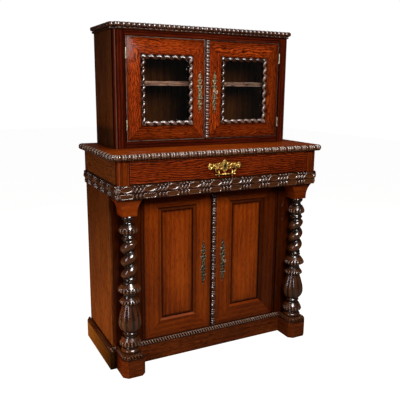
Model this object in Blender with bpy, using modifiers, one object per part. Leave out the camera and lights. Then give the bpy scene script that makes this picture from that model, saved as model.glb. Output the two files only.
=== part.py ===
"""Two-part buffet bookcase: a glazed case standing on a breakfront cupboard with twisted columns.

Units are metres, +Z is up and the front faces -Y. The origin is on the floor under the middle of the
worktop.
"""
from math import cos, exp, pi, radians, sin

import bmesh
import bpy
from mathutils import Matrix, Vector

# Clearances: between pieces fixed to each other, and round those that swing or slide
FIT = 0.0003
RUN = 0.0012

# Heights of the storeys, from the floor up
PLINTH_HEIGHT = 0.098
CUPBOARD_HEIGHT = 0.681
BAND_HEIGHT = 0.059
FRIEZE_HEIGHT = 0.099
WORKTOP_THICKNESS = 0.0265
CASE_HEIGHT = 0.490
CORNICE_HEIGHT = 0.028

# Worktop
WORKTOP_WIDTH = 1.040
WORKTOP_DEPTH = 0.501
WORKTOP_CANT = 0.024
WORKTOP_NOSE = 0.011
WORKTOP_SIDE_OVERHANG = 0.028
WORKTOP_FRONT_OVERHANG = 0.0249
WORKTOP_BACK_OVERHANG = 0.0055

# Frieze, its carved band and the boards round the drawer
FRIEZE_WALL = 0.020
FRIEZE_CANT = 0.0115
BAND_PROUD = 0.0102
BAND_CANT = 0.016
BAND_STEP = 0.004
BAND_LOWER_TIER = 0.026
TOP_RAIL_HEIGHT = 0.0065
SOFFIT_THICKNESS = 0.018
RUNNER_WIDTH = 0.020
GUIDE_HEIGHT = 0.050

# Drawer
FRIEZE_CHEEK = 0.0535
DRAWER_SILL = 0.0035
DRAWER_FRONT_THICKNESS = 0.022
DRAWER_BACK_ROOM = 0.049
DRAWER_SIDE_HEIGHT = 0.078
DRAWER_WALL = 0.012
DRAWER_BOTTOM_THICKNESS = 0.006
DRAWER_BOTTOM_RISE = 0.006

# Drawer handle, a little left of the middle, with its bail hanging from two posts
HANDLE_X = -0.006
HANDLE_RISE = 0.051
HANDLE_WIDTH = 0.166
HANDLE_BOSS_HEIGHT = 0.048
HANDLE_WING_HEIGHT = 0.030
PLATE_THICKNESS = 0.0015
POST_SPACING = 0.102
POST_RADIUS = 0.0045
POST_LENGTH = 0.0150
BAIL_STANDOFF = 0.0105
BAIL_WIRE = 0.0025
BAIL_CLEARANCE = 0.0006
BAIL_DROP = 0.040
BAIL_SPREAD = 0.0095
BAIL_SIDE_POWER = 0.45
BAIL_FOOT_POWER = 0.9
HANDLE_BOSS_SHARE = 0.13
HANDLE_END_POWER = 0.4

# Cupboard carcass
BODY_INSET = 0.0025
SIDE_THICKNESS = 0.020
BACK_THICKNESS = 0.009
FLOOR_THICKNESS = 0.018
SHELF_THICKNESS = 0.016
SHELF_RISE = 0.330
SHELF_SETBACK = 0.060
FACE_RECESS = 0.1036
FACE_THICKNESS = 0.018
STILE_INSET = 0.010

# Plinth with the blocks that carry the columns
PLINTH_SIDE_PROUD = 0.0195
PLINTH_FRONT_PROUD = 0.0065
PLINTH_THICKNESS = 0.0245
PLINTH_SLOPE = 0.010
BLOCK_WIDTH = 0.1012
BLOCK_DEPTH = 0.1058
BLOCK_CANT = 0.019

# Columns: every turning is its height, the radius at its two ends, the radius at its belly and a
# skew below one that moves the belly down
COLUMN_INSET = 0.078
COLUMN_STANDOFF = 0.0512
COLUMN_FOOT = (
    (0.019, 0.034, 0.041, 1.0),
    (0.011, 0.029, 0.027, 1.0),
    (0.040, 0.033, 0.047, 1.0),
    (0.012, 0.028, 0.026, 1.0),
    (0.008, 0.029, 0.032, 1.0),
    (0.008, 0.029, 0.027, 1.0),
    (0.124, 0.029, 0.050, 0.6),
    (0.028, 0.029, 0.041, 1.0),
    (0.024, 0.030, 0.027, 1.0),
    (0.036, 0.033, 0.048, 1.0),
    (0.014, 0.029, 0.026, 1.0),
)
COLUMN_HEAD = (
    (0.012, 0.026, 0.030, 1.0),
    (0.012, 0.026, 0.024, 1.0),
    (0.038, 0.028, 0.040, 1.0),
    (0.022, 0.025, 0.019, 1.0),
    (0.014, 0.026, 0.028, 1.0),
)
TWIST_CORE = 0.014
TWIST_RADIUS = 0.008
TWIST_TUBE = 0.027
TWIST_PITCH = 0.0572
TWIST_END = 0.024
TWIST_START = radians(8)
TWIST_FADE = 0.10

# Corbels
CORBEL_HEIGHT = 0.076
CORBEL_DEPTH = 0.079
CORBEL_TOP_WIDTH = 0.117
CORBEL_FOOT_WIDTH = 0.069
CORBEL_CURVE_HEIGHT = 0.046

# Lower doors
LOWER_DOOR_INSET = 0.1325
LOWER_DOOR_THICKNESS = 0.022
LOWER_DOOR_RISE = 0.0025
LOWER_STILE = 0.083
LOWER_MEETING = 0.087
LOWER_TOP_RAIL = 0.068
LOWER_BOTTOM_RAIL = 0.0775
LOWER_SPLAY = 0.017
LOWER_SPLAY_DEPTH = 0.008
PANEL_THICKNESS = 0.008
PIVOT_RADIUS = 0.003
PIVOT_LENGTH = 0.010

# Strips that cover where each pair of doors meets
LOWER_STRIP_HALF = 0.0093
UPPER_STRIP_HALF = 0.0107
STRIP_PROUD = 0.008
STRIP_NOSE = 0.005
MEETING_GAP = 0.0016

# Upper case
CASE_SIDE_SETBACK = 0.084
CASE_FRONT_SETBACK = 0.2095
CASE_BACK_SETBACK = 0.0225
CASE_SIDE_THICKNESS = 0.018
CASE_BACK_THICKNESS = 0.008
CASE_FLOOR_THICKNESS = 0.018
CASE_CANT = 0.0095
CASE_FRAME_THICKNESS = 0.020
CASE_STILE = 0.0508
CASE_BOTTOM_RAIL = 0.0285
CASE_TOP_RAIL = 0.0234
CASE_SHELF_RISE = 0.265
CASE_SHELF_THICKNESS = 0.0195
CASE_SHELF_SETBACK = 0.041
CORNICE_SIDE_OVERHANG = 0.018
CORNICE_FRONT_OVERHANG = 0.0265
CORNICE_BACK_OVERHANG = 0.002
CORNICE_CANT = 0.0265
CORNICE_LOWER_TIER = 0.010
CORNICE_STEP = 0.008
CORNICE_NOSE = 0.007

# Upper doors
UPPER_DOOR_THICKNESS = 0.020
UPPER_DOOR_PROUD = 0.003
UPPER_STILE = 0.0656
UPPER_MEETING = 0.0715
UPPER_TOP_RAIL = 0.0709
UPPER_BOTTOM_RAIL = 0.0648
TWIST_MOULD_WIDTH = 0.0165
TWIST_MOULD_DEPTH = 0.013
TWIST_MOULD_PROUD = 0.005
GLASS_THICKNESS = 0.003

# Butt hinges of the upper doors
HINGE_LENGTH = 0.045
HINGE_INSET = 0.0695
HINGE_RADIUS = 0.0042
HINGE_PIN = 0.0018
HINGE_LEAF = 0.0008
HINGE_LEAF_DEPTH = 0.016
HINGE_SLACK = 0.0004

# Escutcheons and keys
ESCUTCHEON_MEAN_SHARE = 0.62
ESCUTCHEON_LOBE_SHARE = 0.38
ESCUTCHEON_END_POWER = 0.5
LOWER_PLATE_HEIGHT = 0.211
LOWER_PLATE_WIDTH = 0.028
LOWER_PLATE_X = 0.0513
LOWER_KEY_RISE = 0.3275
UPPER_PLATE_HEIGHT = 0.185
UPPER_PLATE_WIDTH = 0.024
UPPER_PLATE_X = 0.0374
UPPER_KEY_RISE = 0.2088
KEY_SHANK = 0.0022
KEY_CLEARANCE = 0.0005
KEY_HOLE = 0.0034
KEY_HOLE_DEPTH = 0.014
KEY_IN_LOCK = 0.012
KEY_REACH = 0.014
KEY_BOW_RADIUS = 0.0085
KEY_BOW_HOLE = 0.0055
KEY_BOW_THICKNESS = 0.002

# Levels
SOFFIT_Z = PLINTH_HEIGHT + CUPBOARD_HEIGHT
BAND_TOP = SOFFIT_Z + BAND_HEIGHT
WORKTOP_Z = BAND_TOP + FRIEZE_HEIGHT
CASE_Z = WORKTOP_Z + WORKTOP_THICKNESS
CORNICE_Z = CASE_Z + CASE_HEIGHT
TOP_Z = CORNICE_Z + CORNICE_HEIGHT
DRAWER_Z = BAND_TOP + DRAWER_SILL
DRAWER_TOP = WORKTOP_Z - TOP_RAIL_HEIGHT - RUN
HANDLE_Z = DRAWER_Z + HANDLE_RISE
CORBEL_Z = SOFFIT_Z - CORBEL_HEIGHT
LOWER_DOOR_Z = PLINTH_HEIGHT + LOWER_DOOR_RISE
LOWER_DOOR_TOP = SOFFIT_Z - LOWER_DOOR_RISE
CASE_OPENING_Z = CASE_Z + CASE_BOTTOM_RAIL
CASE_OPENING_TOP = CORNICE_Z - CASE_TOP_RAIL
UPPER_DOOR_Z = CASE_OPENING_Z + RUN
UPPER_DOOR_TOP = CASE_OPENING_TOP - RUN

# Planes across the depth
FRONT = -WORKTOP_DEPTH / 2
BACK = WORKTOP_DEPTH / 2
FRIEZE_FRONT = FRONT + WORKTOP_FRONT_OVERHANG
BAND_FRONT = FRIEZE_FRONT - BAND_PROUD
BODY_BACK = BACK - WORKTOP_BACK_OVERHANG
BOARD_BACK = BODY_BACK - BACK_THICKNESS - FIT
FACE = FRIEZE_FRONT + FACE_RECESS
CARCASS_FRONT = FACE + FACE_THICKNESS + FIT
PLINTH_FRONT = FACE - PLINTH_FRONT_PROUD
BLOCK_FRONT = PLINTH_FRONT - BLOCK_DEPTH
COLUMN_Y = FACE - COLUMN_STANDOFF
PIVOT_Y = FACE + LOWER_DOOR_THICKNESS / 2
BAIL_Y = FRIEZE_FRONT - BAIL_STANDOFF
CASE_FRONT = FRONT + CASE_FRONT_SETBACK
CASE_BACK = BACK - CASE_BACK_SETBACK
CASE_BOARD_FRONT = CASE_FRONT + CASE_FRAME_THICKNESS + FIT
CASE_BOARD_BACK = CASE_BACK - CASE_BACK_THICKNESS - FIT
UPPER_DOOR_FRONT = CASE_FRONT - UPPER_DOOR_PROUD
HINGE_Y = UPPER_DOOR_FRONT - HINGE_RADIUS - FIT

# Half widths
WORKTOP_HALF = WORKTOP_WIDTH / 2
FRIEZE_HALF = WORKTOP_HALF - WORKTOP_SIDE_OVERHANG
FRIEZE_INNER = FRIEZE_HALF - FRIEZE_WALL
BAND_HALF = FRIEZE_HALF + BAND_PROUD
BODY_HALF = FRIEZE_HALF - BODY_INSET
BOARD_HALF = BODY_HALF - SIDE_THICKNESS - FIT
PLINTH_HALF = BODY_HALF + PLINTH_SIDE_PROUD
COLUMN_X = PLINTH_HALF - COLUMN_INSET
LOWER_DOOR_HALF = BODY_HALF - LOWER_DOOR_INSET
DRAWER_HALF = FRIEZE_HALF - FRIEZE_CHEEK
GUIDE_X = DRAWER_HALF + RUN
CASE_HALF = WORKTOP_HALF - CASE_SIDE_SETBACK
CASE_OPENING_HALF = CASE_HALF - CASE_STILE
CASE_BOARD_HALF = CASE_HALF - CASE_SIDE_THICKNESS - FIT
CORNICE_HALF = CASE_HALF + CORNICE_SIDE_OVERHANG
PIVOT_X = LOWER_DOOR_HALF - LOWER_DOOR_THICKNESS / 2
HINGE_GAP = 2 * HINGE_LEAF + 4 * FIT
HINGE_X = CASE_OPENING_HALF - HINGE_GAP / 2
UPPER_DOOR_HALF = CASE_OPENING_HALF - HINGE_GAP

# Roundness of small bars, of turned pieces and of bent tubes
ROD_SIDES = 12
HOLE_SIDES = 12
RING_SIDES = 16
TURN_STEPS = 18
TURNING_STEP = 0.010
BELLY_STEPS_LEAST = 3
WAIST_STEPS = 2
TUBE_RESOLUTION = 4
TWIST_POINTS_PER_TURN = 12
PLATE_POINTS = 20
BAIL_POINTS = 7
NOSE_SEGMENTS = 3
EDGE_SEGMENTS = 5
CORBEL_POINTS = 6
WELD = 0.00001
FLAT_ANGLE = radians(0.5)
SMOOTH_ANGLE = radians(40)

# Finishes: colour, roughness, metallic
POLISHED_FRONT = ((0.24, 0.045, 0.012), 0.28, 0.0)
POLISHED_SIDE = ((0.09, 0.024, 0.009), 0.35, 0.0)
CARVED_DARK = ((0.030, 0.012, 0.007), 0.25, 0.0)
INSIDE = ((0.035, 0.016, 0.008), 0.60, 0.0)
DRAWER_LINING = ((0.16, 0.075, 0.030), 0.60, 0.0)
BRASS = ((0.48, 0.27, 0.055), 0.30, 1.0)
BRONZE = ((0.09, 0.070, 0.035), 0.40, 1.0)
STEEL = ((0.30, 0.28, 0.25), 0.35, 1.0)
GLASS = ((0.02, 0.02, 0.02), 0.05, 0.0)

# Turns an outline drawn in plan, seen from the front or seen from the side into its place
PLAN = Matrix.Identity(4)
FRONT_VIEW = Matrix(((1, 0, 0, 0), (0, 0, -1, 0), (0, 1, 0, 0), (0, 0, 0, 1)))
SIDE_VIEW = Matrix(((0, 0, 1, 0), (1, 0, 0, 0), (0, 1, 0, 0), (0, 0, 0, 1)))


def clear_scene():
    """Removes every object that is already there."""
    for old in list(bpy.data.objects):
        bpy.data.objects.remove(old, do_unlink=True)


def new_collection(name):
    """Adds a named collection to the scene."""
    collection = bpy.data.collections.new(name)
    bpy.context.scene.collection.children.link(collection)
    return collection


clear_scene()
PARTS = new_collection("buffet_bookcase")
CUTTERS = new_collection("cutters")
PIVOTS = {}


def material(name, finish):
    """A material of one colour, roughness and metallic value."""
    colour, roughness, metallic = finish
    made = bpy.data.materials.new(name)
    made.use_nodes = True
    shader = made.node_tree.nodes["Principled BSDF"]
    shader.inputs["Base Color"].default_value = (*colour, 1)
    shader.inputs["Roughness"].default_value = roughness
    shader.inputs["Metallic"].default_value = metallic
    return made


def to_mesh(shape):
    """Turns an edit mesh into mesh data."""
    mesh = bpy.data.meshes.new("shape")
    shape.to_mesh(mesh)
    shape.free()
    return mesh


def evaluated(data, setup=None):
    """The welded mesh of a curve or of a mesh with modifiers, with its faces turned outwards."""
    holder = bpy.data.objects.new("holder", data)
    bpy.context.scene.collection.objects.link(holder)
    if setup:
        setup(holder)
    graph = bpy.context.evaluated_depsgraph_get()
    mesh = bpy.data.meshes.new_from_object(holder.evaluated_get(graph))
    bpy.data.objects.remove(holder, do_unlink=True)
    shape = bmesh.new()
    shape.from_mesh(mesh)
    bmesh.ops.remove_doubles(shape, verts=shape.verts, dist=WELD)
    bmesh.ops.recalc_face_normals(shape, faces=shape.faces)
    return to_mesh(shape)


def box(low, high):
    """A box between two corners."""
    middle = (Vector(low) + Vector(high)) / 2
    size = Vector(high) - Vector(low)
    shape = bmesh.new()
    bmesh.ops.create_cube(shape, size=1, matrix=Matrix.Translation(middle) @ Matrix.Diagonal((*size, 1)))
    return to_mesh(shape)


def rod(start, end, radius, sides=ROD_SIDES):
    """A round bar from one point to another."""
    along = Vector(end) - Vector(start)
    turn = along.to_track_quat("Z", "Y").to_matrix().to_4x4()
    place = Matrix.Translation((Vector(start) + Vector(end)) / 2) @ turn
    shape = bmesh.new()
    bmesh.ops.create_cone(shape, cap_ends=True, segments=sides, radius1=radius, radius2=radius,
                          depth=along.length, matrix=place)
    return to_mesh(shape)


def circle(middle, radius, sides=HOLE_SIDES):
    """The points of a circle in an outline."""
    steps = [2 * pi * step / sides for step in range(sides)]
    return [(middle[0] + radius * cos(angle), middle[1] + radius * sin(angle)) for angle in steps]


def rectangle(low, high):
    """The corners of a rectangle in an outline."""
    return [low, (high[0], low[1]), high, (low[0], high[1])]


def mirrored(half):
    """Closes a half outline by its mirror image in the first coordinate."""
    return half + [(-first, second) for first, second in reversed(half)]


def prism(loops, low, high, view):
    """Outlines, holes included, as a solid between two levels of the axis that the view looks along."""
    curve = bpy.data.curves.new("outline", "CURVE")
    curve.dimensions = "2D"
    curve.fill_mode = "BOTH"
    curve.extrude = (high - low) / 2
    for loop in loops:
        spline = curve.splines.new("POLY")
        spline.points.add(len(loop) - 1)
        for point, (first, second) in zip(spline.points, loop):
            point.co = (first, second, 0, 1)
        spline.use_cyclic_u = True
    mesh = evaluated(curve)
    level = (low + high) / 2
    if view is FRONT_VIEW:
        level = -level
    mesh.transform(view @ Matrix.Translation((0, 0, level)))
    return mesh


def ease(mesh, width, segments, chosen):
    """Chamfers or rounds the edges that a test on their two ends picks."""
    shape = bmesh.new()
    shape.from_mesh(mesh)
    bmesh.ops.dissolve_limit(shape, angle_limit=FLAT_ANGLE, verts=shape.verts, edges=shape.edges)
    edges = [edge for edge in shape.edges if chosen(edge.verts[0].co, edge.verts[1].co)]
    bmesh.ops.bevel(shape, geom=edges, offset=width, offset_type="OFFSET", segments=segments,
                    profile=0.5, affect="EDGES", clamp_overlap=False)
    bmesh.ops.remove_doubles(shape, verts=shape.verts, dist=WELD)
    bmesh.ops.triangulate(shape, faces=shape.faces)
    return to_mesh(shape)


def both(axis, value, within=WELD):
    """A test that both ends of an edge lie at one value of an axis."""
    return lambda a, b: abs(a[axis] - value) < within and abs(b[axis] - value) < within


def turned(profile, steps=TURN_STEPS):
    """A profile of (radius, height) points, running from its top down, turned round the Z axis."""
    mesh = bpy.data.meshes.new("profile")
    points = [(radius, 0, height) for radius, height in profile]
    mesh.from_pydata(points, [(index, index + 1) for index in range(len(points) - 1)], [])

    def setup(holder):
        screw = holder.modifiers.new("Turn", "SCREW")
        screw.steps = steps
        screw.render_steps = steps
        screw.use_merge_vertices = True
        screw.merge_threshold = WELD
    return evaluated(mesh, setup)


def tube(points, radius, thickness=None):
    """A round tube along points, with an optional share of the radius at each of them."""
    curve = bpy.data.curves.new("tube", "CURVE")
    curve.dimensions = "3D"
    curve.bevel_depth = radius
    curve.bevel_resolution = TUBE_RESOLUTION
    curve.use_fill_caps = True
    spline = curve.splines.new("POLY")
    spline.points.add(len(points) - 1)
    for index, point in enumerate(spline.points):
        point.co = (*points[index], 1)
        point.radius = thickness[index] if thickness else 1
    return evaluated(curve)


def pivot(name, place, carrier=None):
    """An empty on a joint's axis, hung from the empty of the body that carries it."""
    empty = bpy.data.objects.new(name, None)
    PARTS.objects.link(empty)
    PIVOTS[name] = Vector(place)
    empty.location = PIVOTS[name]
    if carrier:
        empty.parent = carrier
        empty.location = PIVOTS[name] - PIVOTS[carrier.name]
    return empty


def add(name, mesh, finish, body=None, smooth=False):
    """Adds a piece drawn in place, with its origin on its body's axis or in its own middle."""
    if body:
        origin = PIVOTS[body.name]
    else:
        corners = [vertex.co for vertex in mesh.vertices]
        low = Vector([min(corner[axis] for corner in corners) for axis in range(3)])
        high = Vector([max(corner[axis] for corner in corners) for axis in range(3)])
        origin = (low + high) / 2
    mesh.transform(Matrix.Translation(-origin))
    mesh.name = name
    mesh.materials.append(material(name, finish))
    if smooth:
        mesh.shade_smooth()
        mesh.set_sharp_from_angle(angle=SMOOTH_ANGLE)
    piece = bpy.data.objects.new(name, mesh)
    PARTS.objects.link(piece)
    if body:
        piece.parent = body
    else:
        piece.location = origin
    return piece


def combine(piece, operation, *meshes):
    """Joins shapes to a piece or cuts them out of it. Each stays as a hidden guide."""
    for mesh in meshes:
        guide = bpy.data.objects.new(f"{piece.name}_{operation.lower()}", mesh)
        guide.hide_render = True
        guide.display_type = "WIRE"
        CUTTERS.objects.link(guide)
        change = piece.modifiers.new(operation.title(), "BOOLEAN")
        change.operation = operation
        change.solver = "EXACT"
        change.object = guide


def span(side, near, far):
    """Orders two distances from the middle as low and high on one side of the object."""
    return (near, far) if side > 0 else (-far, -near)


def side_name(side):
    """The word for one side of the object, seen from its front."""
    return "right" if side > 0 else "left"


def canted(half, front, back, cant):
    """A plan with its two front corners cut off."""
    return mirrored([(half, back), (half, front + cant), (half - cant, front)])


def rounded_all_but_back(mesh, width, back):
    """Rounds the level edges of a slab, apart from those at its back."""
    behind = both(1, back)
    return ease(mesh, width, NOSE_SEGMENTS, lambda a, b: abs(a.z - b.z) < WELD and not behind(a, b))


def make_plinth():
    """The breakfront plinth: a front rail with two column blocks, and a return on each side."""
    rail_back = PLINTH_FRONT + PLINTH_THICKNESS
    at_top = both(2, PLINTH_HEIGHT)
    forward = both(1, PLINTH_FRONT)
    rail = box((-BODY_HALF, PLINTH_FRONT, 0), (BODY_HALF, rail_back, PLINTH_HEIGHT))
    rail = ease(rail, PLINTH_SLOPE, 1, lambda a, b: at_top(a, b) and forward(a, b))
    front = add("plinth_front", rail, POLISHED_FRONT)
    block_back = rail_back - FIT
    behind = both(1, block_back)
    for side in (-1, 1):
        plan = canted(BLOCK_WIDTH / 2, BLOCK_FRONT, block_back, BLOCK_CANT)
        block = prism([plan], 0, PLINTH_HEIGHT, PLAN)
        block = ease(block, PLINTH_SLOPE, 1, lambda a, b: at_top(a, b) and not behind(a, b))
        block.transform(Matrix.Translation((side * COLUMN_X, 0, 0)))
        combine(front, "UNION", block)
        hole = rod((side * PIVOT_X, PIVOT_Y, PLINTH_HEIGHT - PIVOT_LENGTH - FIT),
                   (side * PIVOT_X, PIVOT_Y, PLINTH_HEIGHT + PIVOT_LENGTH), PIVOT_RADIUS + FIT)
        combine(front, "DIFFERENCE", hole)
        low, high = span(side, BODY_HALF + FIT, PLINTH_HALF)
        board = box((low, PLINTH_FRONT, 0), (high, BODY_BACK, PLINTH_HEIGHT))
        outside = both(0, side * PLINTH_HALF)
        board = ease(board, PLINTH_SLOPE, 1,
                     lambda a, b: at_top(a, b) and (outside(a, b) or forward(a, b)))
        add(f"plinth_{side_name(side)}", board, POLISHED_SIDE)


def make_carcass():
    """The cupboard behind the columns: floor, sides, back, shelf and the two front stiles."""
    floor_z = PLINTH_HEIGHT - FLOOR_THICKNESS
    add("base_floor", box((-BOARD_HALF, CARCASS_FRONT, floor_z), (BOARD_HALF, BOARD_BACK, PLINTH_HEIGHT)),
        INSIDE)
    shelf_z = PLINTH_HEIGHT + SHELF_RISE
    add("base_shelf", box((-BOARD_HALF, CARCASS_FRONT + SHELF_SETBACK, shelf_z),
                          (BOARD_HALF, BOARD_BACK, shelf_z + SHELF_THICKNESS)), INSIDE)
    add("base_back", box((-BOARD_HALF, BODY_BACK - BACK_THICKNESS, floor_z),
                         (BOARD_HALF, BODY_BACK, WORKTOP_Z - FIT)), INSIDE)
    for side in (-1, 1):
        low, high = span(side, BODY_HALF - SIDE_THICKNESS, BODY_HALF)
        add(f"base_side_{side_name(side)}", box((low, CARCASS_FRONT, 0), (high, BODY_BACK, SOFFIT_Z)),
            POLISHED_SIDE)
        low, high = span(side, LOWER_DOOR_HALF + RUN, BODY_HALF - STILE_INSET)
        add(f"base_stile_{side_name(side)}", box((low, FACE, PLINTH_HEIGHT + FIT),
                                                (high, FACE + FACE_THICKNESS, SOFFIT_Z)), POLISHED_FRONT)


def make_drawer_board():
    """The soffit over the columns and cupboard, with the ribs that carry and guide the drawer."""
    low = SOFFIT_Z + FIT
    outline = mirrored([
        (FRIEZE_INNER - FIT, low),
        (FRIEZE_INNER - FIT, DRAWER_Z + GUIDE_HEIGHT),
        (GUIDE_X, DRAWER_Z + GUIDE_HEIGHT),
        (GUIDE_X, DRAWER_Z - FIT),
        (DRAWER_HALF - RUNNER_WIDTH, DRAWER_Z - FIT),
        (DRAWER_HALF - RUNNER_WIDTH, low + SOFFIT_THICKNESS),
    ])
    mesh = prism([outline], FRIEZE_FRONT + FRIEZE_WALL + FIT, BOARD_BACK, FRONT_VIEW)
    board = add("drawer_board", mesh, INSIDE)
    for side in (-1, 1):
        combine(board, "DIFFERENCE", rod((side * PIVOT_X, PIVOT_Y, SOFFIT_Z - PIVOT_LENGTH),
                                         (side * PIVOT_X, PIVOT_Y, low + PIVOT_LENGTH), PIVOT_RADIUS + FIT))


def make_frieze():
    """The frieze ends with canted corners, the rail over the drawer and the carved band below it."""
    for side in (-1, 1):
        plan = [
            (FRIEZE_HALF, BODY_BACK),
            (FRIEZE_HALF, FRIEZE_FRONT + FRIEZE_CANT),
            (FRIEZE_HALF - FRIEZE_CANT, FRIEZE_FRONT),
            (GUIDE_X, FRIEZE_FRONT),
            (GUIDE_X, FRIEZE_FRONT + FRIEZE_WALL),
            (FRIEZE_INNER, FRIEZE_FRONT + FRIEZE_WALL),
            (FRIEZE_INNER, BODY_BACK),
        ]
        mesh = prism([[(side * x, y) for x, y in plan]], SOFFIT_Z + FIT, WORKTOP_Z - FIT, PLAN)
        add(f"frieze_end_{side_name(side)}", mesh, POLISHED_SIDE)
    rail_half = GUIDE_X - FIT
    add("frieze_top_rail", box((-rail_half, FRIEZE_FRONT, WORKTOP_Z - TOP_RAIL_HEIGHT),
                               (rail_half, FRIEZE_FRONT + FRIEZE_WALL, WORKTOP_Z - FIT)), POLISHED_FRONT)
    inside = [
        (-GUIDE_X + FIT, FRIEZE_FRONT + FRIEZE_WALL),
        (-GUIDE_X + FIT, FRIEZE_FRONT - FIT),
        (-FRIEZE_HALF + FRIEZE_CANT, FRIEZE_FRONT - FIT),
        (-FRIEZE_HALF - FIT, FRIEZE_FRONT + FRIEZE_CANT),
        (-FRIEZE_HALF - FIT, BODY_BACK),
    ]
    tiers = []
    for inset, low, high in ((BAND_STEP, SOFFIT_Z, SOFFIT_Z + BAND_LOWER_TIER + FIT),
                             (0, SOFFIT_Z + BAND_LOWER_TIER, BAND_TOP)):
        half = BAND_HALF - inset
        front = BAND_FRONT + inset
        outside = [(-half, BODY_BACK), (-half, front + BAND_CANT), (-half + BAND_CANT, front)]
        tiers.append(prism([mirrored(inside + outside)], low, high, PLAN))
    band = add("carved_band", tiers[1], CARVED_DARK)
    combine(band, "UNION", tiers[0])


def make_worktop():
    """The worktop, with canted front corners and a rounded edge on its front and sides."""
    mesh = prism([canted(WORKTOP_HALF, FRONT, BACK, WORKTOP_CANT)], WORKTOP_Z, CASE_Z, PLAN)
    add("worktop", rounded_all_but_back(mesh, WORKTOP_NOSE, BACK), POLISHED_FRONT, smooth=True)


def make_corbel(side):
    """A bracket with hollowed sides between a column and the soffit."""
    top = CORBEL_TOP_WIDTH / 2
    foot = CORBEL_FOOT_WIDTH / 2
    bend_z = SOFFIT_Z - CORBEL_CURVE_HEIGHT
    half = [(foot, CORBEL_Z)]
    for step in range(CORBEL_POINTS + 1):
        angle = pi / 2 * step / CORBEL_POINTS
        half.append((top - (top - foot) * cos(angle), bend_z + CORBEL_CURVE_HEIGHT * sin(angle)))
    outline = [(x + side * COLUMN_X, z) for x, z in mirrored(half)]
    mesh = prism([outline], FACE - FIT - CORBEL_DEPTH, FACE - FIT, FRONT_VIEW)
    add(f"corbel_{side_name(side)}", mesh, CARVED_DARK, smooth=True)


def turning_points(turnings, foot):
    """Profile points going up through the turnings from a height: ends plus a sine-shaped belly."""
    points = []
    for height, neck, belly, skew in turnings:
        steps = max(BELLY_STEPS_LEAST, round(height / TURNING_STEP)) if belly > neck else WAIST_STEPS
        for step in range(steps + 1):
            share = step / steps
            points.append((neck + (belly - neck) * sin(pi * share ** skew), foot + height * share))
        foot += height
    return points, foot


def twisted_strand(low, high):
    """A thick strand that leaves the axis, and whose level slices turn steadily round it."""
    length = high - low
    count = round(TWIST_POINTS_PER_TURN * length / TWIST_PITCH)
    end_share = TWIST_END / TWIST_TUBE
    points = []
    thickness = []
    for index in range(count + 1):
        share = index / count
        rise = min(1, share / TWIST_FADE, (1 - share) / TWIST_FADE)
        swell = rise * rise * (3 - 2 * rise)
        points.append((TWIST_RADIUS * swell, 0, low + share * length))
        thickness.append(end_share + (1 - end_share) * swell)
    strand = tube(points, TWIST_TUBE, thickness)
    for vertex in strand.vertices:
        angle = TWIST_START + 2 * pi * (vertex.co.z - low) / TWIST_PITCH
        vertex.co = Matrix.Rotation(angle, 3, "Z") @ vertex.co
    return strand


def make_column(side):
    """A turned column whose middle is one thick strand, wound round the axis."""
    foot_z = PLINTH_HEIGHT + FIT
    head_z = CORBEL_Z - FIT - sum(turning[0] for turning in COLUMN_HEAD)
    foot, twist_z = turning_points(COLUMN_FOOT, foot_z)
    head, top_z = turning_points(COLUMN_HEAD, head_z)
    core = [(TWIST_CORE, twist_z), (TWIST_CORE, head_z)]
    profile = [(0, foot_z)] + foot + core + head + [(0, top_z)]
    column = turned(list(reversed(profile)))
    strand = twisted_strand(twist_z - COLUMN_FOOT[-1][0] / 2, head_z + COLUMN_HEAD[0][0] / 2)
    place = Matrix.Translation((side * COLUMN_X, COLUMN_Y, 0))
    column.transform(place)
    strand.transform(place)
    piece = add(f"column_{side_name(side)}", column, CARVED_DARK, smooth=True)
    combine(piece, "UNION", strand)


def make_drawer():
    """The drawer: a front flush with the frieze and a box on the runners behind it."""
    body = pivot("drawer", (0, FRIEZE_FRONT, DRAWER_Z))
    front_back = FRIEZE_FRONT + DRAWER_FRONT_THICKNESS
    box_front = front_back + FIT
    box_back = BOARD_BACK - DRAWER_BACK_ROOM
    inner = DRAWER_HALF - DRAWER_WALL - FIT
    side_top = DRAWER_Z + DRAWER_SIDE_HEIGHT
    bottom_z = DRAWER_Z + DRAWER_BOTTOM_RISE
    bottom_top = bottom_z + DRAWER_BOTTOM_THICKNESS
    add("drawer_front", box((-DRAWER_HALF, FRIEZE_FRONT, DRAWER_Z), (DRAWER_HALF, front_back, DRAWER_TOP)),
        POLISHED_FRONT, body)
    for side in (-1, 1):
        low, high = span(side, DRAWER_HALF - DRAWER_WALL, DRAWER_HALF)
        add(f"drawer_side_{side_name(side)}", box((low, box_front, DRAWER_Z), (high, box_back, side_top)),
            DRAWER_LINING, body)
    add("drawer_back", box((-inner, box_back - DRAWER_WALL, bottom_top + FIT), (inner, box_back, side_top)),
        DRAWER_LINING, body)
    add("drawer_bottom", box((-inner, box_front, bottom_z), (inner, box_back, bottom_top)),
        DRAWER_LINING, body)
    return body


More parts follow.
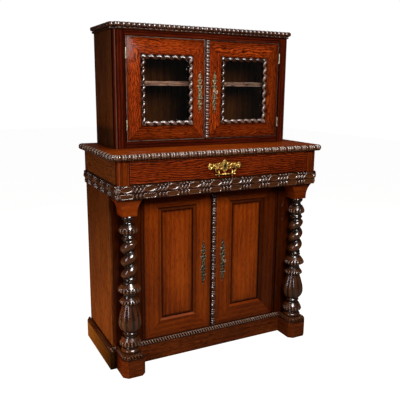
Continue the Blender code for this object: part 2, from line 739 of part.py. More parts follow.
def make_handle(drawer):
    """The drawer's brass plate with two drilled posts, and the bail that swings in them."""
    outline = []
    for step in range(PLATE_POINTS + 1):
        share = step / PLATE_POINTS
        boss = exp(-((share - 0.5) / HANDLE_BOSS_SHARE) ** 2)
        tall = HANDLE_WING_HEIGHT + (HANDLE_BOSS_HEIGHT - HANDLE_WING_HEIGHT) * boss
        outline.append((HANDLE_WIDTH * (share - 0.5), tall / 2 * sin(pi * share) ** HANDLE_END_POWER))
    loop = outline + [(x, -z) for x, z in reversed(outline[1:-1])]
    loop = [(HANDLE_X + x, HANDLE_Z + z) for x, z in loop]
    plate_back = FRIEZE_FRONT - FIT
    hole = circle((HANDLE_X, HANDLE_Z), KEY_HOLE)
    plate = add("handle_plate", prism([loop, hole], plate_back - PLATE_THICKNESS, plate_back, FRONT_VIEW),
                BRASS, drawer)
    for side in (-1, 1):
        post_x = HANDLE_X + side * POST_SPACING / 2
        post = rod((post_x, plate_back - PLATE_THICKNESS / 2, HANDLE_Z),
                   (post_x, FRIEZE_FRONT - POST_LENGTH, HANDLE_Z), POST_RADIUS)
        combine(plate, "UNION", post)
        bore = rod((post_x - 2 * POST_RADIUS, BAIL_Y, HANDLE_Z),
                   (post_x + 2 * POST_RADIUS, BAIL_Y, HANDLE_Z), BAIL_WIRE + BAIL_CLEARANCE)
        combine(plate, "DIFFERENCE", bore)
    bail = pivot("bail", (HANDLE_X, BAIL_Y, HANDLE_Z), drawer)
    reach = POST_SPACING / 2 + BAIL_SPREAD
    half = [(POST_SPACING / 2 - POST_RADIUS - BAIL_CLEARANCE, 0)]
    for step in range(BAIL_POINTS + 1):
        angle = pi / 2 * step / BAIL_POINTS
        half.append((reach * cos(angle) ** BAIL_SIDE_POWER, -BAIL_DROP * sin(angle) ** BAIL_FOOT_POWER))
    route = half[:-1] + [(0, -BAIL_DROP)] + [(-x, z) for x, z in reversed(half[:-1])]
    wire = tube([(HANDLE_X + x, BAIL_Y, HANDLE_Z + z) for x, z in route], BAIL_WIRE)
    add("handle_bail", wire, BRASS, bail, smooth=True)


def escutcheon(name, x, z, front, width, height, finish, body):
    """A tall plate with a round boss at its keyhole, drawn in above and below it, and pointed ends."""
    half = []
    for step in range(PLATE_POINTS + 1):
        share = step / PLATE_POINTS
        lobes = ESCUTCHEON_MEAN_SHARE + ESCUTCHEON_LOBE_SHARE * cos(4 * pi * (share - 0.5))
        half.append((width / 2 * lobes * sin(pi * share) ** ESCUTCHEON_END_POWER, height * (share - 0.5)))
    loop = half + [(-a, b) for a, b in reversed(half[1:-1])]
    loop = [(x + a, z + b) for a, b in loop]
    back = front - FIT
    plate = prism([loop, circle((x, z), KEY_HOLE)], back - PLATE_THICKNESS, back, FRONT_VIEW)
    add(name, plate, finish, body)


def make_key(name, x, z, front, door):
    """A key in its lock: a shank with a flat ring for a bow, turning about the shank."""
    turn = pivot(f"{name}_turn", (x, front, z), door)
    bow_y = front - KEY_REACH - KEY_BOW_RADIUS
    ring = [circle((bow_y, z), KEY_BOW_RADIUS, RING_SIDES), circle((bow_y, z), KEY_BOW_HOLE, RING_SIDES)]
    half = KEY_BOW_THICKNESS / 2
    key = add(name, prism(ring, x - half, x + half, SIDE_VIEW), STEEL, turn, smooth=True)
    shank_end = bow_y + (KEY_BOW_RADIUS + KEY_BOW_HOLE) / 2
    combine(key, "UNION", rod((x, shank_end, z), (x, front + KEY_IN_LOCK, z), KEY_SHANK))


def splayed_well(left, right, bottom, top):
    """The hollow in front of a sunk panel: it narrows from the door's face down to the panel."""
    depth = LOWER_SPLAY_DEPTH
    well = box((left, FACE - depth, bottom), (right, FACE + depth + FIT, top))
    middle = Vector(((left + right) / 2, 0, (bottom + top) / 2))
    for vertex in well.vertices:
        inwards = LOWER_SPLAY if vertex.co.y > FACE else -LOWER_SPLAY
        vertex.co.x += inwards if vertex.co.x < middle.x else -inwards
        vertex.co.z += inwards if vertex.co.z < middle.z else -inwards
    return well


def make_lower_door(side):
    """A panelled door with mitred rails, hung on pins in its rounded edge."""
    label = f"lower_{side_name(side)}"
    body = pivot(f"{label}_door", (side * PIVOT_X, PIVOT_Y, LOWER_DOOR_Z))
    back = FACE + LOWER_DOOR_THICKNESS
    edge = -LOWER_STRIP_HALF if side > 0 else LOWER_STRIP_HALF + MEETING_GAP
    low, high = (edge, LOWER_DOOR_HALF) if side > 0 else (-LOWER_DOOR_HALF, -edge)
    mesh = box((low, FACE, LOWER_DOOR_Z), (high, back, LOWER_DOOR_TOP))
    hung = both(0, side * LOWER_DOOR_HALF)
    mesh = ease(mesh, LOWER_DOOR_THICKNESS / 2 - WELD, EDGE_SEGMENTS,
                lambda a, b: hung(a, b) and abs(a.y - b.y) < WELD)
    frame = add(f"{label}_frame", mesh, POLISHED_FRONT, body)
    near, far = span(side, LOWER_MEETING, LOWER_DOOR_HALF - LOWER_STILE)
    bottom = LOWER_DOOR_Z + LOWER_BOTTOM_RAIL
    top = LOWER_DOOR_TOP - LOWER_TOP_RAIL
    splay_y = FACE + LOWER_SPLAY_DEPTH
    rebate = box((near, splay_y, bottom), (far, back + FIT, top))
    combine(frame, "DIFFERENCE", splayed_well(near, far, bottom, top), rebate)
    key_z = LOWER_DOOR_Z + LOWER_KEY_RISE
    key_x = side * LOWER_PLATE_X
    lock = rod((key_x, FACE - KEY_HOLE_DEPTH, key_z), (key_x, FACE + KEY_HOLE_DEPTH, key_z),
               KEY_SHANK + KEY_CLEARANCE)
    combine(frame, "DIFFERENCE", lock)
    for end, outwards in ((LOWER_DOOR_Z, -1), (LOWER_DOOR_TOP, 1)):
        root = (side * PIVOT_X, PIVOT_Y, end - outwards * PIVOT_LENGTH)
        tip = (side * PIVOT_X, PIVOT_Y, end + outwards * (PIVOT_LENGTH + LOWER_DOOR_RISE - 2 * FIT))
        combine(frame, "UNION", rod(root, tip, PIVOT_RADIUS))
    panel_y = splay_y + FIT
    panel = box((near + FIT, panel_y, bottom + FIT), (far - FIT, panel_y + PANEL_THICKNESS, top - FIT))
    add(f"{label}_panel", panel, POLISHED_FRONT, body)
    escutcheon(f"{label}_escutcheon", key_x, key_z, FACE, LOWER_PLATE_WIDTH, LOWER_PLATE_HEIGHT,
               BRONZE, body)
    if side > 0:
        add_strip("lower_astragal", LOWER_STRIP_HALF, FACE, LOWER_DOOR_Z, LOWER_DOOR_TOP, body)
        make_key("lower_key", key_x, key_z, FACE, body)


def add_strip(name, half, front, low, high, body):
    """A rounded strip on the right door of a pair, over the line where the two meet."""
    mesh = box((-half, front - FIT - STRIP_PROUD, low), (half, front - FIT, high))
    forward = both(1, front - FIT - STRIP_PROUD)
    mesh = ease(mesh, STRIP_NOSE, NOSE_SEGMENTS, lambda a, b: forward(a, b) and abs(a.x - b.x) < WELD)
    add(name, mesh, CARVED_DARK, body, smooth=True)


def make_case():
    """The upper case: sides, floor, back, shelf, face frame and cornice."""
    low = CASE_Z + FIT
    high = CORNICE_Z - FIT
    for side in (-1, 1):
        inner, outer = span(side, CASE_HALF - CASE_SIDE_THICKNESS, CASE_HALF)
        add(f"upper_side_{side_name(side)}", box((inner, CASE_BOARD_FRONT, low), (outer, CASE_BACK, high)),
            POLISHED_SIDE)
    add("upper_floor", box((-CASE_BOARD_HALF, CASE_BOARD_FRONT, low),
                           (CASE_BOARD_HALF, CASE_BOARD_BACK, low + CASE_FLOOR_THICKNESS)), INSIDE)
    add("upper_back", box((-CASE_BOARD_HALF, CASE_BACK - CASE_BACK_THICKNESS, low),
                          (CASE_BOARD_HALF, CASE_BACK, high)), INSIDE)
    shelf_z = CASE_Z + CASE_SHELF_RISE
    add("upper_shelf", box((-CASE_BOARD_HALF, CASE_FRONT + CASE_SHELF_SETBACK, shelf_z),
                           (CASE_BOARD_HALF, CASE_BOARD_BACK, shelf_z + CASE_SHELF_THICKNESS)), INSIDE)
    frame_back = CASE_FRONT + CASE_FRAME_THICKNESS
    mesh = box((-CASE_HALF, CASE_FRONT, low), (CASE_HALF, frame_back, high))
    forward = both(1, CASE_FRONT)
    mesh = ease(mesh, CASE_CANT, 1, lambda a, b: forward(a, b) and abs(a.x - b.x) < WELD)
    frame = add("upper_face_frame", mesh, POLISHED_FRONT)
    opening = box((-CASE_OPENING_HALF, CASE_FRONT - CASE_FRAME_THICKNESS, CASE_OPENING_Z),
                  (CASE_OPENING_HALF, frame_back + CASE_FRAME_THICKNESS, CASE_OPENING_TOP))
    combine(frame, "DIFFERENCE", opening)
    front = CASE_FRONT - CORNICE_FRONT_OVERHANG
    back = CASE_BACK + CORNICE_BACK_OVERHANG
    step_z = CORNICE_Z + CORNICE_LOWER_TIER
    upper = prism([canted(CORNICE_HALF, front, back, CORNICE_CANT)], step_z, TOP_Z, PLAN)
    upper = rounded_all_but_back(upper, CORNICE_NOSE, back)
    lower = prism([canted(CORNICE_HALF - CORNICE_STEP, front + CORNICE_STEP, back, CORNICE_CANT)],
                  CORNICE_Z, step_z + FIT, PLAN)
    cornice = add("cornice", upper, CARVED_DARK, smooth=True)
    combine(cornice, "UNION", lower)


def make_hinge(side, label, middle, door):
    """A butt hinge: one leaf on the case with two knuckles and the pin, one on the door between them."""
    third = (HINGE_LENGTH - 2 * HINGE_SLACK) / 3
    low = middle - HINGE_LENGTH / 2
    high = middle + HINGE_LENGTH / 2
    leaf_front = UPPER_DOOR_FRONT
    leaf_back = leaf_front + HINGE_LEAF_DEPTH
    x = side * HINGE_X
    case_outline = [
        (leaf_back, low), (leaf_back, high), (HINGE_Y, high), (HINGE_Y, high - third),
        (leaf_front, high - third), (leaf_front, low + third), (HINGE_Y, low + third), (HINGE_Y, low),
    ]
    near, far = span(side, CASE_OPENING_HALF - FIT - HINGE_LEAF, CASE_OPENING_HALF - FIT)
    case = add(f"upper_{label}_hinge_case", prism([case_outline], near, far, SIDE_VIEW), BRASS, smooth=True)
    combine(case, "UNION", rod((x, HINGE_Y, low), (x, HINGE_Y, low + third), HINGE_RADIUS),
            rod((x, HINGE_Y, high - third), (x, HINGE_Y, high), HINGE_RADIUS),
            rod((x, HINGE_Y, low + third / 2), (x, HINGE_Y, high - third / 2), HINGE_PIN))
    knuckle_low = low + third + HINGE_SLACK
    knuckle_high = high - third - HINGE_SLACK
    door_outline = [
        (leaf_back, low), (leaf_back, high), (leaf_front, high), (leaf_front, knuckle_high),
        (HINGE_Y, knuckle_high), (HINGE_Y, knuckle_low), (leaf_front, knuckle_low), (leaf_front, low),
    ]
    near, far = span(side, UPPER_DOOR_HALF + FIT, UPPER_DOOR_HALF + FIT + HINGE_LEAF)
    leaf = prism([door_outline], near, far, SIDE_VIEW)
    half = add(f"upper_{label}_hinge_door", leaf, BRASS, door, smooth=True)
    combine(half, "UNION", rod((x, HINGE_Y, knuckle_low), (x, HINGE_Y, knuckle_high), HINGE_RADIUS))
    combine(half, "DIFFERENCE", rod((x, HINGE_Y, low), (x, HINGE_Y, high), HINGE_PIN + HINGE_SLACK))


def make_upper_door(side):
    """A glazed door with mitred rails and a twisted moulding round its pane, on two butt hinges."""
    name = side_name(side)
    label = f"upper_{name}"
    body = pivot(f"{label}_door", (side * HINGE_X, HINGE_Y, UPPER_DOOR_Z))
    back = UPPER_DOOR_FRONT + UPPER_DOOR_THICKNESS
    edge = -UPPER_STRIP_HALF if side > 0 else UPPER_STRIP_HALF + MEETING_GAP
    outer = [(edge, UPPER_DOOR_Z), (UPPER_DOOR_HALF, UPPER_DOOR_TOP)]
    bottom = UPPER_DOOR_Z + UPPER_BOTTOM_RAIL
    top = UPPER_DOOR_TOP - UPPER_TOP_RAIL
    far = UPPER_DOOR_HALF - UPPER_STILE

    def ring(inset):
        """The pane's outline, drawn in by an inset, on this side."""
        corners = rectangle((UPPER_MEETING + inset, bottom + inset), (far - inset, top - inset))
        return [(side * x, z) for x, z in corners]

    around = [(side * x, z) for x, z in rectangle(*outer)]
    frame = add(f"{label}_frame", prism([around, ring(0)], UPPER_DOOR_FRONT, back, FRONT_VIEW),
                POLISHED_FRONT, body)
    key_x = side * UPPER_PLATE_X
    key_z = UPPER_DOOR_Z + UPPER_KEY_RISE
    lock = rod((key_x, UPPER_DOOR_FRONT - KEY_HOLE_DEPTH, key_z),
               (key_x, UPPER_DOOR_FRONT + KEY_HOLE_DEPTH, key_z), KEY_SHANK + KEY_CLEARANCE)
    combine(frame, "DIFFERENCE", lock)
    mould_front = UPPER_DOOR_FRONT - TWIST_MOULD_PROUD
    mould_back = mould_front + TWIST_MOULD_DEPTH
    mould = prism([ring(FIT), ring(TWIST_MOULD_WIDTH)], mould_front, mould_back, FRONT_VIEW)
    add(f"{label}_twist", mould, CARVED_DARK, body)
    glass_front = mould_back + FIT
    glass = prism([ring(FIT)], glass_front, glass_front + GLASS_THICKNESS, FRONT_VIEW)
    add(f"{label}_glass", glass, GLASS, body)
    escutcheon(f"{label}_escutcheon", key_x, key_z, UPPER_DOOR_FRONT, UPPER_PLATE_WIDTH, UPPER_PLATE_HEIGHT,
               BRASS, body)
    for level, middle in (("top", UPPER_DOOR_TOP - HINGE_INSET), ("bottom", UPPER_DOOR_Z + HINGE_INSET)):
        make_hinge(side, f"{name}_{level}", middle, body)
    if side > 0:
        add_strip("upper_astragal", UPPER_STRIP_HALF, UPPER_DOOR_FRONT, UPPER_DOOR_Z, UPPER_DOOR_TOP, body)
        make_key("upper_key", key_x, key_z, UPPER_DOOR_FRONT, body)


make_plinth()
make_carcass()
make_drawer_board()
make_frieze()
make_worktop()
make_handle(make_drawer())
make_case()
for hand in (-1, 1):
    make_corbel(hand)
    make_column(hand)
    make_lower_door(hand)
    make_upper_door(hand)
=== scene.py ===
"""Looks of the two-part buffet bookcase: carved and polished rosewood, cast brass and old sheet glass.

Every new piece is a loft: rings of points worked out as whole arrays and joined into one closed skin.
Metres, +Z up, the front faces -Y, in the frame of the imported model.
"""
import itertools
from math import cos, pi, radians, sin

import bpy
import numpy as np
from mathutils import Matrix, Vector


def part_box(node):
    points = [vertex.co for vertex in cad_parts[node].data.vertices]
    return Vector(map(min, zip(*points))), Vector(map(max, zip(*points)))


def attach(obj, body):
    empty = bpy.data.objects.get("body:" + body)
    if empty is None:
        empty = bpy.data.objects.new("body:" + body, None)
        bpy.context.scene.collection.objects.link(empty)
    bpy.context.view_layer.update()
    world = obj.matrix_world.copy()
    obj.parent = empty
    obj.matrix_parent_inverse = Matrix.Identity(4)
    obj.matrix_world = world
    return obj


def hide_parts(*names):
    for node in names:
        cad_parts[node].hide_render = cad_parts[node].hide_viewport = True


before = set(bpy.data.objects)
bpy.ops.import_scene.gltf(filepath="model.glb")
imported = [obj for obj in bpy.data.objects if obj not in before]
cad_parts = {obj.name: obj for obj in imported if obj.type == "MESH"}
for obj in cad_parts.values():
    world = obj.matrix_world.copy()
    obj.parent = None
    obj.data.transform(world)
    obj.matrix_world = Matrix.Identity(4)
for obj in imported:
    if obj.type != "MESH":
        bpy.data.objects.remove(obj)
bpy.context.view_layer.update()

MM = 0.001

# Steps along carved edges, and how far plain boards are eased
CARVING_STEP = 1.5 * MM
PLAIN_STEP = 1.0
EASED = 1.2 * MM
PLANK_EASE = 1.5 * MM
WALL_EASE = 0.4 * MM
JOINT_GAP = 0.1 * MM
SCROLL_THINNEST = 0.6 * MM
CREASE = radians(38)

# Moulded edges: canted corners, noses and beads
WORKTOP_CANT = 24 * MM
WORKTOP_NOSE = 11 * MM
WORKTOP_EDGE = 15 * MM
WORKTOP_BEAD = 41 * MM
CORNICE_CANT = 26.5 * MM
CORNICE_NOSE = 7 * MM
CORNICE_STEP = 8 * MM
CORNICE_LOWER = 10 * MM
CORNICE_EDGE = 24 * MM
CORNICE_BEAD = 46 * MM
CORNICE_PEARL = 23 * MM
BEAD_DEPTH = 8 * MM
PEARL_DEPTH = 3 * MM
SLAB_EASE = 0.2 * MM

# Beads and reels: the cells of a period, their heights and how pale their crests are painted, as highlights
WORKTOP_CELLS = ((0.50, 0.25, 0.25), (1, 0.9, 0.9), (1.2, 2.2, 2.2))
CORNICE_CELLS = ((0.5, 0.5), (1, 0.95), (1.5, 1.0))
PEARL_CELLS = ((1.0,), (1,), (0.9,))

# Carved band: two tiers of long hollows, parted by leaves and curls in the upper tier and by crescents in
# the lower. The places of leaves are shares of a period, from the middle between two hollows
BAND_CANT = 16 * MM
BAND_LOWER = 26 * MM
BAND_STEP = 4 * MM
BAND_PROUD = 10.2 * MM
BAND_PERIOD = 101 * MM
BAND_OVAL_SHARE = 0.63
BAND_RELIEF = 5 * MM
BAND_LEVEL = 1.3 * MM
BAND_LEAVES = (-0.235, -0.08, 0.08, 0.235)
BAND_LEAF = 5.0 * MM
BAND_LEAF_SLANT = 0.55
BAND_CURL_ASIDE = 7.5 * MM
BAND_CURL = 3.6 * MM
BAND_CRESCENT = 3.8 * MM
BAND_LEAF_MIDDLE = -0.3
BAND_LEAF_HALF = 0.66
BAND_CURL_MIDDLE = 0.66
BAND_CURL_HALF = 0.3
BAND_RIM = 3.0 * MM
BAND_HOLLOW = 0.45
BAND_RIM_HEIGHT = 0.85
BAND_LENS = 0.92
# How light the band is painted from its deepest gaps to its highest crests: painted shade in the gaps, pale
# highlights painted on rims, leaves and curls
BAND_LIGHT_AND_SHADE = (0.35, 0.55, 0.9, 1.3, 1.8)
FRIEZE_CANT = 11.5 * MM
FRIEZE_WALL = 20 * MM

# Plinth: a fillet and a carved ovolo along its top edge
PLINTH_CARVED = 19 * MM
PLINTH_FILLET = 2.5 * MM
PLINTH_OVOLO_FROM = 3 * MM
PLINTH_OVOLO = 10 * MM
PLINTH_TICK = 13 * MM
PLINTH_TICK_SLANT = 0.6
PLINTH_DULL = 0.5
PLINTH_RELIEF = 5 * MM
PLINTH_THICKNESS = 24.5 * MM
PLINTH_CORE = 14 * MM
BLOCK_WIDTH = 101.2 * MM
BLOCK_CANT = 19 * MM

# Columns: each turning is its height, the radius at its ends and at its belly, a skew below one that
# lowers the belly, and the number and depth of the lobes carved round it, all lengths in millimetres
COLUMN_FOOT = (
    (19, 34, 41, 1.0, 0, 0), (11, 29, 27, 1.0, 0, 0), (40, 33, 47, 0.5, 18, 6.0), (12, 28, 26, 1.0, 0, 0),
    (8, 29, 32, 1.0, 0, 0), (8, 29, 27, 1.0, 0, 0), (124, 29, 50, 0.6, 10, 4.5), (28, 29, 43, 0.5, 18, 6.0),
    (24, 30, 27, 1.0, 0, 0), (36, 33, 49, 0.5, 18, 6.0), (14, 29, 26, 1.0, 0, 0),
)
COLUMN_HEAD = (
    (12, 26, 30, 1.0, 0, 0), (12, 26, 24, 1.0, 0, 0), (38, 28, 40, 0.6, 15, 6.0), (22, 25, 19, 1.0, 0, 0),
    (14, 26, 28, 1.0, 0, 0),
)
COLUMN_LEVEL = 1.6 * MM
COLUMN_SIDES = 180
COLUMN_CREASE = radians(50)
RING_HEIGHT = 60
RING_LOBED = 0.62
VASE_LOBED = 1.1
LOBE_FADE = 0.10
LOBE_DEEP = 4 * MM
# Necks narrower than this are painted darker, as shade
WAIST_SHADE = 26 * MM
WAIST_SHADE_FADE = 10 * MM
MANY_LOBES = 12
TWIST_INNER = 19 * MM
TWIST_OUTER = 35 * MM
TWIST_END = 24 * MM
TWIST_PITCH = 57.2 * MM
TWIST_START = radians(8)
TWIST_FADE = 0.10

# Corbels
CORBEL_CURVE_HEIGHT = 64 * MM
CORBEL_SWEEP = radians(58)
CORBEL_FOOT = 31.5 * MM
CORBEL_TOP = 68.5 * MM
CORBEL_EASE = 2.0 * MM
CORBEL_STEPS = 10
# How dark each corbel is painted: the right one darker, as painted shade where the light falls off
CORBEL_TONES = {"left": 0.85, "right": 0.6}

# Doors
MITRE_GAP = 0.6 * MM
SPLAY_WIDTH = 14.5 * MM
SPLAY_QUIRK = 1.4 * MM
SPLAY_END = 5.6 * MM
SPLAY_FILLET = 2 * MM
SPLAY_DIP = 0.4 * MM
HAIR = 0.3 * MM
LOWER_SPLAY_DEPTH = 8 * MM
COCKBEAD = 3.2 * MM
COCKBEAD_DEPTH = 1.2 * MM
COCKBEAD_EASE = 0.8 * MM
COCKBEAD_ROD = (1.1 * MM, 1.0 * MM)
CASE_CANT = 9.5 * MM
CASE_STILE = 50.8 * MM
SHELF_LIP = 6 * MM
RAIL_CLEAR = 1.2 * MM
RAIL_EASE = 0.5 * MM

# Drawer's soffit, runners and guides
SOFFIT = 18 * MM
RUNNER_WIDTH = 20 * MM
RUNNER_CLEAR = 0.3 * MM
GUIDE_CLEAR = 1.2 * MM

# Beads up the strips where the doors meet
UPPER_STRIP_BEAD = 40 * MM
LOWER_STRIP_BEAD = 44 * MM
# how pale the crests of each cell are painted, as highlights
STRIP_CREST_HIGHLIGHT = {"upper": (1.5, 1.7, 1.7), "lower": (1.0, 1.6, 1.6)}
STRIP_WIDER = {"upper": 2 * MM, "lower": 7 * MM}

# Plinth's front outside its blocks is darker, as painted shade. The frieze's cheeks and the case's stiles
# have reeds painted on as lines of light and shade, pale near their canted corners as painted highlights: how
# light each line across them is
PLINTH_DARK_FROM = 470 * MM
PLINTH_DARK = 0.08
CHEEK_PAINTED_REEDS = (0.1, 1.25, 0.7, 1.0, 0.5, 1.0, 0.6, 1.0, 0.2, 0.9, 0.5, 1.4, 0.1)
CASE_STILE_PAINTED_REEDS = (0.2, 0.5, 0.75, 0.9, 1.1, 1.15, 1.1, 1.2, 0.9, 0.6, 1.55, 0.5)

# How light the cupboard's sides are painted above and below their middle, darker above as painted shade, and
# the shelf's lip right and left of its middle, darker on the right as painted shade and lighter on the left
# as a painted highlight
CUPBOARD_SIDE_SHADE = (0.80, 1.0)
SHELF_LIP_LIGHT = (0.55, 1.15)

# How light the doors' beads and frames are painted: left stile, right stile, bottom rail and top rail. The
# right door's beads and the right-hand members are darker, as painted shade where the light falls off to the
# right, and the splays are pale on the bottom rail, a painted highlight, and dark on the top rail, painted
# shade
COCKBEAD_TONES = {"left": 1.0, "right": 0.35}
SPLAY_EDGE = (0.6, 0.45, 0.8, 0.0)
SPLAY_FACE = (0.8, 0.5, 1.8, 0.5)
LOWER_FRAME_TONES = {"left": (0.85, 0.9, 0.75, 0.7), "right": (0.85, 0.29, 0.6, 0.6)}
UPPER_FRAME_TONES = {"left": (0.95, 0.9, 0.44, 0.98), "right": (0.85, 0.43, 0.52, 0.82)}

# Lines along the faces of the doors' frames: a share of the width, a further distance and how light each is
# painted, darker near the edges as painted shade in the gaps
LOWER_FACE = ((0, 4 * MM, 0.2), (0, 10 * MM, 0.75), (0, 28 * MM, 1), (1, -18 * MM, 1.02), (1, -3 * MM, 0.9))
UPPER_FACE = ((0, 14 * MM, 0.75), (0.4, 0, 1), (1, -18 * MM, 1), (1, -8 * MM, 0.85))
# distances from the splay over which the panel is painted dark, with dirt and painted shade
PANEL_SHADE_AND_DIRT = np.array([0, 5, 13, 45]) * MM

# Drawer handle's plate: its boss, its flowers (radius, petals and height), its spine, whose ends are in
# millimetres, and the ground behind them: a darker plate that paints shade into the piercings
PLATE_BOSS = (16 * MM, 25 * MM)
PLATE_BOSS_PROUD = 3.5 * MM
PLATE_KEYHOLE = (4.2 * MM, 9.5 * MM)
PLATE_SCROLL = 3.6 * MM
PLATE_FLOWER_X = 70 * MM
PLATE_FLOWER = (13 * MM, 6, 4.5 * MM)
PLATE_TIP = (4 * MM, 5, 2.5 * MM)
POST_FLOWER = (9 * MM, 8, 3 * MM)
PLATE_SPINE = (10, 62)
PLATE_SPINE_HALF = (2.2 * MM, 1.5 * MM)
PLATE_GROUND = 16 * MM
GROUND_OFF = 0.4 * MM
GROUND_HALF = 0.3 * MM
GROUND_STEPS = 40
KEYHOLE_SIDES = 24
KEYHOLE_DEPTHS = (2.2 * MM, 0.2 * MM, 0.1 * MM)

# Drawer's front: how light it is painted at these distances from its edge, dark in the gap and pale on a
# line, as painted shade and a painted highlight, darker towards its right end as painted shade, and the
# painted shadow with grime round the handle
DRAWER_EDGE = np.array([0, 1, 2, 4, 20]) * MM
DRAWER_EDGE_LIGHT_AND_SHADE = (0.1, 0.5, 1.5, 0.9, 1.0)
DRAWER_EDGE_EASE = 0.8 * MM
DRAWER_RIGHT_END = 0.78
DRAWER_SHADE_AND_GRIME = (80 * MM, 34 * MM)
DRAWER_SHADE_DROP = 12 * MM
DRAWER_SHADE_DEPTH = 0.7

# Posts, scrolls and bail of the handle, in millimetres. Scrolls and bail are from the plate's middle. A
# scroll is its start, heading, bend, curl, length, thickness and thickness at its tip
HANDLE_POST_X = 51 * MM
HANDLE_POST = [(6, 0), (6, -2), (3.6, -4), (3.6, -6), (4.5, -8), (4.6, -11), (3.6, -13.5), (1.5, -14.8)]
PLATE_SCROLLS = (
    ((13, 9), 50, -4.0, -0.10, 34, 5.0, 2.6),
    ((30, 3), 60, -3.0, -0.16, 28, 4.2, 2.4),
    ((60, 6), 140, 4.0, 0.14, 26, 4.6, 2.4),
    ((66, 10), 40, -6.0, -0.2, 18, 4.0, 2.2),
)
BAIL_ARM = ((44.6, 0), (56, -22), (47, -25), (33, -27))
BAIL_KNOB = [(0.8, -15), (3.0, -13.5), (3.6, -11), (2.0, -8.5), (3.4, -6.5), (4.6, -2), (4.6, 0)]
BAIL_ARM_STEPS = 18
BAIL_GRIP_Z = -35 * MM
BAIL_KNOB_Z = -32 * MM
BAIL_GRIP = [(0.6, -50), (2.4, -48), (3.4, -45), (2.2, -42), (1.9, -37), (2.4, -33), (2.4, -27), (2.0, -21),
             (2.8, -16), (4.0, -12.5), (2.6, -9.5), (4.4, -6), (6.2, 0)]

# Key plates: their scrolls and spines in millimetres from the keyhole on a plate of this height, their boss
# (half width and height, height off the door, the slot's half width and height) and the flowers at their tips
KEY_PLATE_HEIGHT = 211 * MM
KEY_PLATE_FACE = 1.1 * MM
KEY_BOSS = (7.5 * MM, 12 * MM, 2.2 * MM, 2.8 * MM, 6 * MM)
KEY_SPINE = (10, 98)
KEY_SPINE_TAPER = (1.7, 0.9)
KEY_SPINE_DEPTH = 0.9 * MM
KEY_SPINE_STEPS = 20
KEY_TIP = (3.4 * MM, 4, 2.4 * MM)
KEY_TIP_INSET = 7 * MM
KEY_GROUND_INSET = 12 * MM
KEY_PLATE_SCROLLS = (
    ((3.0, 14), 20, 5.6, 0, 32, 4.8, 2.6),
    ((2.0, 42), 25, 5.2, 0, 30, 4.6, 2.4),
    ((1.5, 70), 30, 5.6, 0, 25, 4.2, 2.2),
    ((8.5, 32), 30, -11.0, 0, 12, 3.8, 2.0),
    ((7.0, 60), 30, -11.0, 0, 11, 3.6, 1.8),
)

# Keys and hinges
KEY_BOW = 8.5 * MM
KEY_WIRE = (1.5 * MM, 1.1 * MM)
KEY_BOW_STEPS = 36
KEY_SHANK = [(1.6, -1.5), (2.2, -0.5), (3.0, 1.0), (3.0, 2.5), (2.2, 3.5), (2.2, 6.5), (2.8, 7.5), (2.2, 8.5)]
HINGE_AXIS = (383.8 * MM, -48.5 * MM)
HINGE_LEAF = (0.3 * MM, 1.0 * MM)
HINGE_LEAF_BACK = 4.6 * MM
HINGE_LEAF_EASE = 0.1 * MM

# Twisted moulding round the panes
PANE_TWIST_PITCH = 34.5 * MM
PANE_TWIST_WIDTH = 20.5 * MM
PANE_TWIST_PROUD = 3 * MM
PANE_TWIST_SIDES = 14
PANE_TWIST_STEP = 2.2 * MM
PANE_TWIST_VALLEY = 0.30
# How much lighter the twist is painted on its right and bottom sides and darker on its left and top, as
# painted light and shade
PANE_TWIST_LIT_SIDES = (0.45, -0.45)
PANE_TWIST_CREASE = radians(60)


def loft(rings, fibre=2, closed=False, clean=1.0):
    """A skin over rings of points, shaped (rings, points, 3), where each ring is a closed loop.

    Quads join neighbouring rings. A closed loft joins its last ring to its first, and any other fills its
    two end rings with quads that join a ring's points in pairs, the first with the last. The timber's
    fibres run along one axis, and every loft lies in its own part of the figure. The value clean is
    1 on open wood, falls to 0 where old polish and dirt have gathered and where shade is painted into
    hollows and gaps, and rises above 1 on edges pale with wear and where highlights are painted.
    """
    rings = np.asarray(rings, float)
    count, size = rings.shape[:2]
    index = np.arange(count * size).reshape(count, size)
    wrapped = np.vstack([index, index[:1]]) if closed else index
    here = wrapped[:-1]
    there = wrapped[1:]
    quads = [np.stack([here, np.roll(here, -1, 1), np.roll(there, -1, 1), there], -1).reshape(-1, 4)]
    if not closed:
        step = np.arange(size // 2 - 1)
        ladder = np.stack([step, step + 1, size - 2 - step, size - 1 - step], -1)
        quads += [index[0][ladder[:, ::-1]], index[-1][ladder]]
    quads = np.concatenate(quads)
    points = rings.reshape(-1, 3)
    a, b, c, d = np.moveaxis(points[quads] - points.mean(0), 1, 0)
    if np.sum(a * np.cross(b, c)) + np.sum(a * np.cross(c, d)) < 0:
        quads = quads[:, ::-1]
    order = FIBRE_AXES[fibre]
    grain = points[:, order] + BOARD_SHIFT * next(board_number)
    return points, quads, grain, (np.asarray(clean) * np.ones((count, size))).ravel()


# Axes along, across and through the fibres, by the axis that they run along
FIBRE_AXES = ((0, 2, 1), (1, 0, 2), (2, 0, 1))
BOARD_SHIFT = np.array([0.371, 0.713, 0.537])
board_number = itertools.count(1)
FINISH = {}


